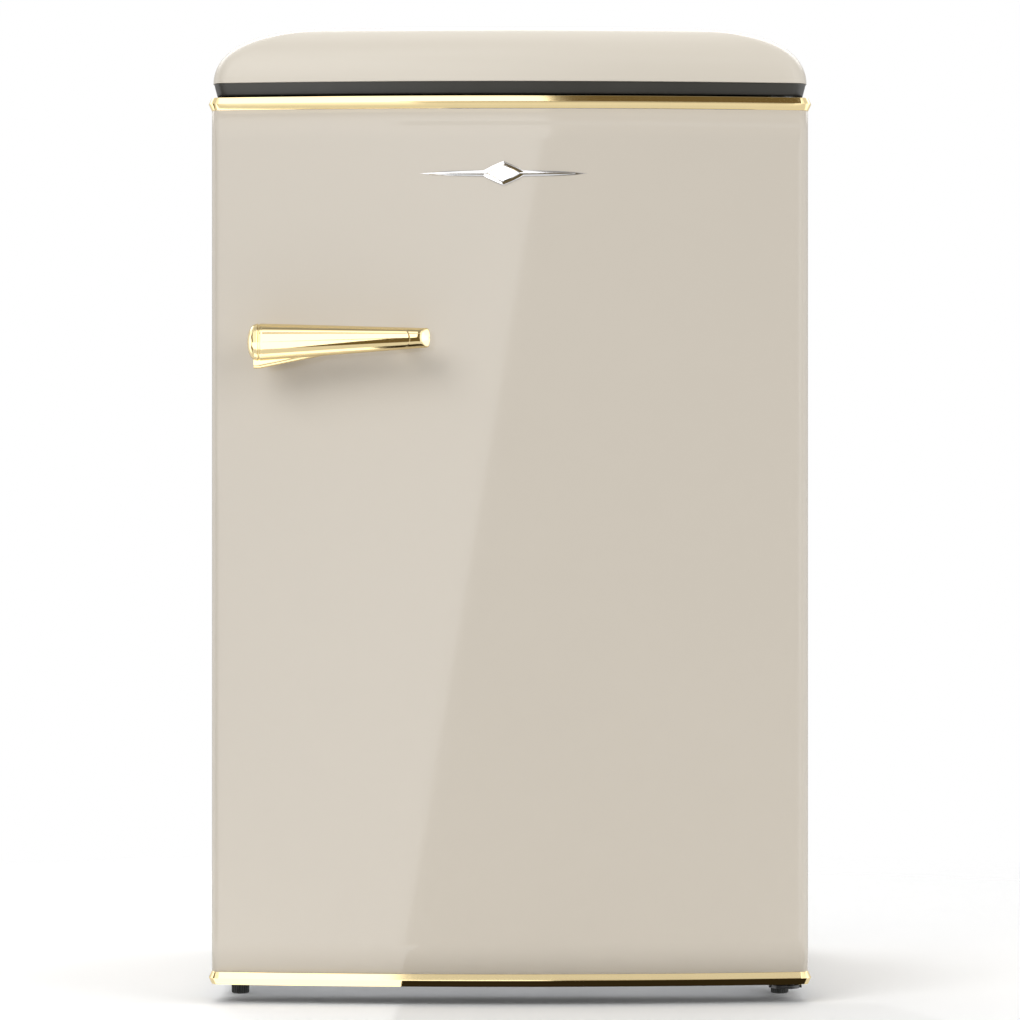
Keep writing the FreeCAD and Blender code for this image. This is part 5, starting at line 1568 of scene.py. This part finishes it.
class FRIDGE_OT_cooling(BuildOperator):
    """Builds the compressor, the coil and the pipes, and dresses the rest of the rear"""

    bl_idname = "fridge.cooling"
    bl_label = "Cooling circuit"

    def build(self):
        for node in ("compressor_plate", "tray_arms"):
            dress(node, 0.4 * MM)
        for node in ("compressor_grommets", "compressor_bolts", "condenser_clips", "filter_drier",
                     "refrigerant_pipes"):
            dress(node, 0.4 * MM)
        dress("relay_cover", 2.0 * MM, 3)
        dress("wall_spacers", 1.5 * MM, 3)
        self.compressor()
        self.tray()
        self.coil()

    def compressor(self):
        low, high = node_box("compressor")
        cx, cy = (low.x + high.x) / 2, (low.y + high.y) / 2
        rx, ry = 74 * MM, 54 * MM
        z_bar = low.z + 3 * MM
        floor_turns = [PI / 2 * i / 12 for i in range(1, 13)]
        lid_turns = [PI / 2 * i / 16.4 for i in range(1, 17)]
        rows = [(math.sin(turn) ** 0.9, 26 * (1 - math.cos(turn))) for turn in floor_turns]
        rows += [(1.0, 44), (1.0, 61.2), (1.022, 61.6), (1.042, 62.2), (1.042, 64.6), (1.022, 65.4),
                 (1.0, 65.8)]
        rows += [(1.0, 84)] + [(math.cos(turn) ** 0.8, 84 + 36 * math.sin(turn)) for turn in lid_turns]
        rings = []
        for scale, up in rows:
            ring = []
            for k in range(96):
                turn = 2 * PI * k / 96
                u, v = squared(math.cos(turn), 0.9), squared(math.sin(turn), 0.9)
                ring.append((cx + rx * scale * u, cy + ry * scale * v, z_bar + up * MM))
            rings.append(ring)
        pieces = [loft("shell", rings)]
        for s in (-1, 1):
            y = cy + s * 34 * MM
            pieces.append(soft_block("bar", (low.x, y - 11 * MM, low.z),
                                     (high.x, y + 11 * MM, low.z + 3 * MM), 1.0 * MM))
            yn = cy + s * 30 * MM
            pieces.append(soft_block("saddle", (cx - 40 * MM, yn - 6 * MM, low.z + 2.6 * MM),
                                     (cx + 40 * MM, yn + 6 * MM, z_bar + 18 * MM), 2.0 * MM))
        pieces.append(lathe("stub",
                            [(0.5 * MM, 0), (4.4 * MM, 0), (4.4 * MM, -6 * MM), (3.4 * MM, -7 * MM),
                             (0.5 * MM, -7 * MM)],
                            (cx - rx + 3 * MM, cy, 96 * MM), "x", 24))
        add_piece("compressor_can", join_meshes("compressor_can", pieces), "cabinet", "black_paint",
                  ["compressor"], 38)

    def tray(self):
        low, high = node_box("evaporating_tray")
        mesh = tub("evaporating_pan", low, high, 2.0 * MM, 10 * MM, 1.0 * MM, 3.0 * MM)
        add_piece("evaporating_pan", mesh, "cabinet", "tray_plastic", ["evaporating_tray"], 40)

    def coil(self):
        low, high = node_box("condenser_tube")
        wlow, whigh = node_box("condenser_wires")
        radius = (high.y - low.y) / 2
        y = (low.y + high.y) / 2
        half, pitch, runs = 200 * MM, 44 * MM, 12
        z0 = high.z - radius - (runs - 1) * pitch
        points = [(-half, y, z0 - 30 * MM)]
        for k in range(runs):
            z = z0 + k * pitch
            x = -half if k % 2 == 0 else half
            points += [(x, y, z), (-x, y, z)]
        points = points[:-1]
        top = z0 + (runs - 1) * pitch
        points += [(low.x + radius, y, top), (low.x + radius, y, 168 * MM)]
        tube_curve("condenser_coil", [round_route(points, 18 * MM, 10)], radius, "cabinet", "black_paint",
                   ["condenser_tube"])
        wire = (whigh.y - wlow.y) / 2
        count = 39
        span = (whigh.x - wlow.x - 2 * wire) / (count - 1)
        routes = [[(wlow.x + wire + k * span, (wlow.y + whigh.y) / 2, wlow.z + (whigh.z - wlow.z) * t)
                   for t in (0, 0.5, 1)]
                  for k in range(count)]
        tube_curve("condenser_rods", routes, wire, "cabinet", "black_paint", ["condenser_wires"], 2)


class FRIDGE_OT_stage(BuildOperator):
    """Builds the floor, the reflectors, the lights, the world and the camera"""

    bl_idname = "fridge.stage"
    bl_label = "Stage"

    def build(self):
        self.floor()
        self.reflectors()
        self.lights()
        self.world()
        self.camera()
        bpy.context.scene.view_settings.view_transform = "Standard"
        bpy.context.scene.view_settings.look = "None"

    def floor(self):
        turns = [2 * PI * i / 96 for i in range(96)]
        rings = [[(radius * math.cos(turn), radius * math.sin(turn), 0) for turn in turns]
                 for radius in (0.02, 0.3, 0.6, 0.9, 1.3, 1.8, 2.4, 3.2)]
        mesh = loft("floor", rings, True, True, False)
        floor = bpy.data.objects.new("floor", mesh)
        bpy.context.scene.collection.objects.link(floor)
        material = bpy.data.materials.new("Pale floor")
        material.use_nodes = True
        tree = material.node_tree
        shader = tree.nodes["Principled BSDF"]
        drift = place_group(tree, "Colour drift", Color=(0.97, 0.97, 0.965), Other=(0.95, 0.95, 0.945),
                            Amount=0.5, Scale=2.0)
        tree.links.new(drift.outputs[0], shader.inputs["Base Color"])
        shader.inputs["Roughness"].default_value = 0.7
        shader.inputs["Specular IOR Level"].default_value = 0.1
        split = tree.nodes.new("ShaderNodeVectorMath")
        split.operation = "LENGTH"
        tree.links.new(tree.nodes.new("ShaderNodeTexCoord").outputs["Object"], split.inputs[0])
        fade = range_node(tree, split.outputs["Value"], 0.45, 1.5, 1.0, 0.0)
        tree.links.new(fade, shader.inputs["Alpha"])
        mesh.materials.append(material)
        floor.visible_glossy = False

    def card(self, name, corners, strength, colour=(1, 1, 1)):
        """A flat reflector that only mirror-like surfaces see."""
        mesh = mesh_from(name, corners, [tuple(range(len(corners)))])
        card = bpy.data.objects.new(name, mesh)
        bpy.context.scene.collection.objects.link(card)
        material = bpy.data.materials.new(name)
        material.use_nodes = True
        tree = material.node_tree
        tree.nodes.clear()
        emission = tree.nodes.new("ShaderNodeEmission")
        emission.inputs["Color"].default_value = (*colour, 1)
        emission.inputs["Strength"].default_value = strength
        target = tree.nodes.new("ShaderNodeOutputMaterial")
        tree.links.new(emission.outputs[0], target.inputs["Surface"])
        mesh.materials.append(material)
        card.visible_camera = False
        card.visible_diffuse = False
        card.visible_shadow = False
        card.visible_transmission = False
        card.visible_volume_scatter = False

    def reflectors(self):
        """Two cards on the floor before the door, for the trims, and one standing before the handle."""
        door_low, _ = node_box("trim_strip_bottom")
        near, far = door_low.y + 0.024, door_low.y - 0.30
        left, near_edge, far_edge = -0.60, -0.100, -0.115
        lie = 0.002
        dark = [(near_edge, near, lie), (0.34, near, lie), (0.46, far, lie), (far_edge, far, lie)]
        self.card("floor_card_dark", dark, 0.03, (1.0, 0.75, 0.4))
        ahead = door_low.y - 0.185
        foot, top = 0.488, 0.5985
        upright = [(left, ahead, foot), (-0.205, ahead, foot), (-0.112, ahead, top), (left, ahead, top)]
        self.card("handle_card", upright, 2.2)
        bright = [(left, near, lie), (near_edge, near, lie), (far_edge, far, lie), (left, far, lie)]
        self.card("floor_card_bright", bright, 2.0)

    def lights(self):
        """Four softboxes, which mirror-like surfaces don't show."""

        def area(name, place, target, size, power):
            data = bpy.data.lights.new(name, "AREA")
            data.shape = "RECTANGLE"
            data.size, data.size_y = size
            data.energy = power
            lamp = bpy.data.objects.new(name, data)
            bpy.context.scene.collection.objects.link(lamp)
            lamp.location = place
            lamp.rotation_euler = (Vector(target) - Vector(place)).to_track_quat("-Z", "Y").to_euler()
            lamp.visible_glossy = False
            lamp.visible_camera = False

        area("key_softbox", (-1.7, -2.8, 2.5), (0, 0, 0.45), (2.2, 1.8), 56)
        area("fill_softbox", (2.4, -2.4, 1.5), (0, 0, 0.45), (1.8, 1.8), 33)
        area("top_softbox", (0.0, 0.9, 2.9), (0, 0, 0.4), (2.4, 2.0), 34)
        area("rear_softbox", (-0.8, 3.0, 1.8), (0, 0, 0.5), (2.0, 1.6), 26)

    def world(self):
        """White for the camera, soft for matt surfaces and a lit studio wall for mirror-like ones."""
        world = bpy.data.worlds.new("Studio")
        bpy.context.scene.world = world
        world.use_nodes = True
        tree = world.node_tree
        tree.nodes.clear()
        path = tree.nodes.new("ShaderNodeLightPath")
        shaders = {}
        for name, strength in (("camera", 1.0), ("mirror", 1.0), ("soft", 0.50)):
            node = tree.nodes.new("ShaderNodeBackground")
            node.inputs["Color"].default_value = (1, 1, 1, 1)
            node.inputs["Strength"].default_value = strength
            shaders[name] = node
        tree.links.new(self.wall(tree), shaders["mirror"].inputs["Color"])
        first = tree.nodes.new("ShaderNodeMixShader")
        tree.links.new(path.outputs["Is Glossy Ray"], first.inputs[0])
        tree.links.new(shaders["soft"].outputs[0], first.inputs[1])
        tree.links.new(shaders["mirror"].outputs[0], first.inputs[2])
        second = tree.nodes.new("ShaderNodeMixShader")
        tree.links.new(path.outputs["Is Camera Ray"], second.inputs[0])
        tree.links.new(first.outputs[0], second.inputs[1])
        tree.links.new(shaders["camera"].outputs[0], second.inputs[2])
        target = tree.nodes.new("ShaderNodeOutputWorld")
        tree.links.new(second.outputs[0], target.inputs["Surface"])

    def wall(self, tree):
        """Brightness by direction: a bright panel to the left of a slanted edge, a dark one to its right."""
        split = tree.nodes.new("ShaderNodeSeparateXYZ")
        tree.links.new(tree.nodes.new("ShaderNodeTexCoord").outputs["Generated"], split.inputs["Vector"])
        x, y, z = (split.outputs[k] for k in ("X", "Y", "Z"))

        def times(first, second):
            return math_node(tree, "MULTIPLY", first, second)

        def minus(first, second):
            return math_node(tree, "SUBTRACT", first, second)

        ahead = math_node(tree, "MAXIMUM", times(y, -1.0), 0.0005)
        across = math_node(tree, "DIVIDE", x, ahead)
        upward = math_node(tree, "DIVIDE", z, ahead)
        in_front = math_node(tree, "LESS_THAN", y, 0.0)

        # the panels flare out towards the roof
        steep = math_node(tree, "MAXIMUM", minus(upward, 0.09), 0.0)
        across = math_node(tree, "DIVIDE", across, math_node(tree, "MULTIPLY_ADD", steep, 0.35, 1.0))

        # the slanted edge, and the band that the lower trim's upper facet mirrors
        low_roof = math_node(tree, "COMPARE", upward, 0.975, 0.185)
        edge = minus(range_node(tree, upward, -0.1093, 0.0937, -0.1438, 0.0494), times(low_roof, 0.187))
        past_edge = math_node(tree, "GREATER_THAN", minus(across, edge), 0.0)
        before_end = math_node(tree, "LESS_THAN", across, 0.46)
        below_roof = range_node(tree, upward, 1.9, 2.6, 1.0, 0.0)
        above_floor = range_node(tree, upward, -0.95, -0.70, 0.0, 1.0)
        dark = times(times(times(past_edge, before_end), in_front), times(below_roof, above_floor))
        slit = times(math_node(tree, "COMPARE", x, -0.90, 0.075), in_front)
        dark = math_node(tree, "MAXIMUM", dark, slit)

        # the bright panel, a dimmer roof, and glows at both sides and behind
        lit = times(in_front, times(below_roof, above_floor))
        panel = range_node(tree, math_node(tree, "ABSOLUTE", across), 0.45, 0.60, 1.0, 0.35)
        level = range_node(tree, times(lit, panel), 0.0, 1.0, 0.85, 2.2)
        roof = times(range_node(tree, z, 0.80, 0.95), range_node(tree, y, -0.1, 0.5, 1.0, 0.0))
        level = times(level, minus(1.0, times(roof, 0.6)))
        side = range_node(tree, math_node(tree, "ABSOLUTE", x), 0.80, 0.92, 0.0, 1.2)
        level = math_node(tree, "ADD", level, side)
        rear = times(range_node(tree, y, 0.2, 0.6, 0.0, 2.4), range_node(tree, z, 0.34, 0.44))
        level = math_node(tree, "ADD", level, times(rear, range_node(tree, z, 0.58, 0.74, 1.0, 0.0)))
        pale = tree.nodes.new("ShaderNodeCombineColor")
        for k in range(3):
            tree.links.new(level, pale.inputs[k])
        dark_shade = mix_colour(tree, low_roof, (0.16, 0.12, 0.06, 1.0), (0.78, 0.78, 0.80, 1.0))
        return mix_colour(tree, dark, pale.outputs[0], dark_shade)

    def camera(self):
        data = bpy.data.cameras.new("camera")
        camera = bpy.data.objects.new("camera", data)
        bpy.context.scene.collection.objects.link(camera)
        distance = 3.90
        door_low, _ = node_box("trim_strip_top")
        seen_width = 0.9265
        eye_height = 0.4514
        data.sensor_width = 36.0
        data.lens = 36.0 * distance / seen_width
        camera.location = (0.0, door_low.y - distance, eye_height)
        camera.rotation_euler = (PI / 2, 0, 0)
        data.clip_end = 60
        bpy.context.scene.camera = camera


class FRIDGE_PT_build(Panel):
    """Lists the settings and the build steps"""

    bl_idname = "FRIDGE_PT_build"
    bl_label = "Retro mini fridge"
    bl_space_type = "VIEW_3D"
    bl_region_type = "UI"
    bl_category = "Fridge"

    def draw(self, context):
        column = self.layout.column()
        for settings in (context.scene.fridge_finishes, context.scene.fridge_shapes):
            for name in settings.__annotations__:
                column.prop(settings, name)
        for operator in OPERATORS:
            column.operator(operator.bl_idname)


OPERATORS = (
    FRIDGE_OT_stage,
    FRIDGE_OT_door_shell,
    FRIDGE_OT_door_trims,
    FRIDGE_OT_handle,
    FRIDGE_OT_badge,
    FRIDGE_OT_door_inside,
    FRIDGE_OT_worktop,
    FRIDGE_OT_cabinet,
    FRIDGE_OT_inside,
    FRIDGE_OT_controls,
    FRIDGE_OT_hinges_feet,
    FRIDGE_OT_cooling,
)
CLASSES = (FridgeFinishes, FridgeShapes, *OPERATORS, FRIDGE_PT_build)


def register():
    for item in CLASSES:
        bpy.utils.register_class(item)
    bpy.types.Scene.fridge_finishes = PointerProperty(type=FridgeFinishes)
    bpy.types.Scene.fridge_shapes = PointerProperty(type=FridgeShapes)


def unregister():
    del bpy.types.Scene.fridge_finishes
    del bpy.types.Scene.fridge_shapes
    for item in reversed(CLASSES):
        bpy.utils.unregister_class(item)


def main():
    register()
    for operator in OPERATORS:
        step = operator.bl_idname.split(".")[1]
        getattr(bpy.ops.fridge, step)()


if __name__ == "__main__":
    main()
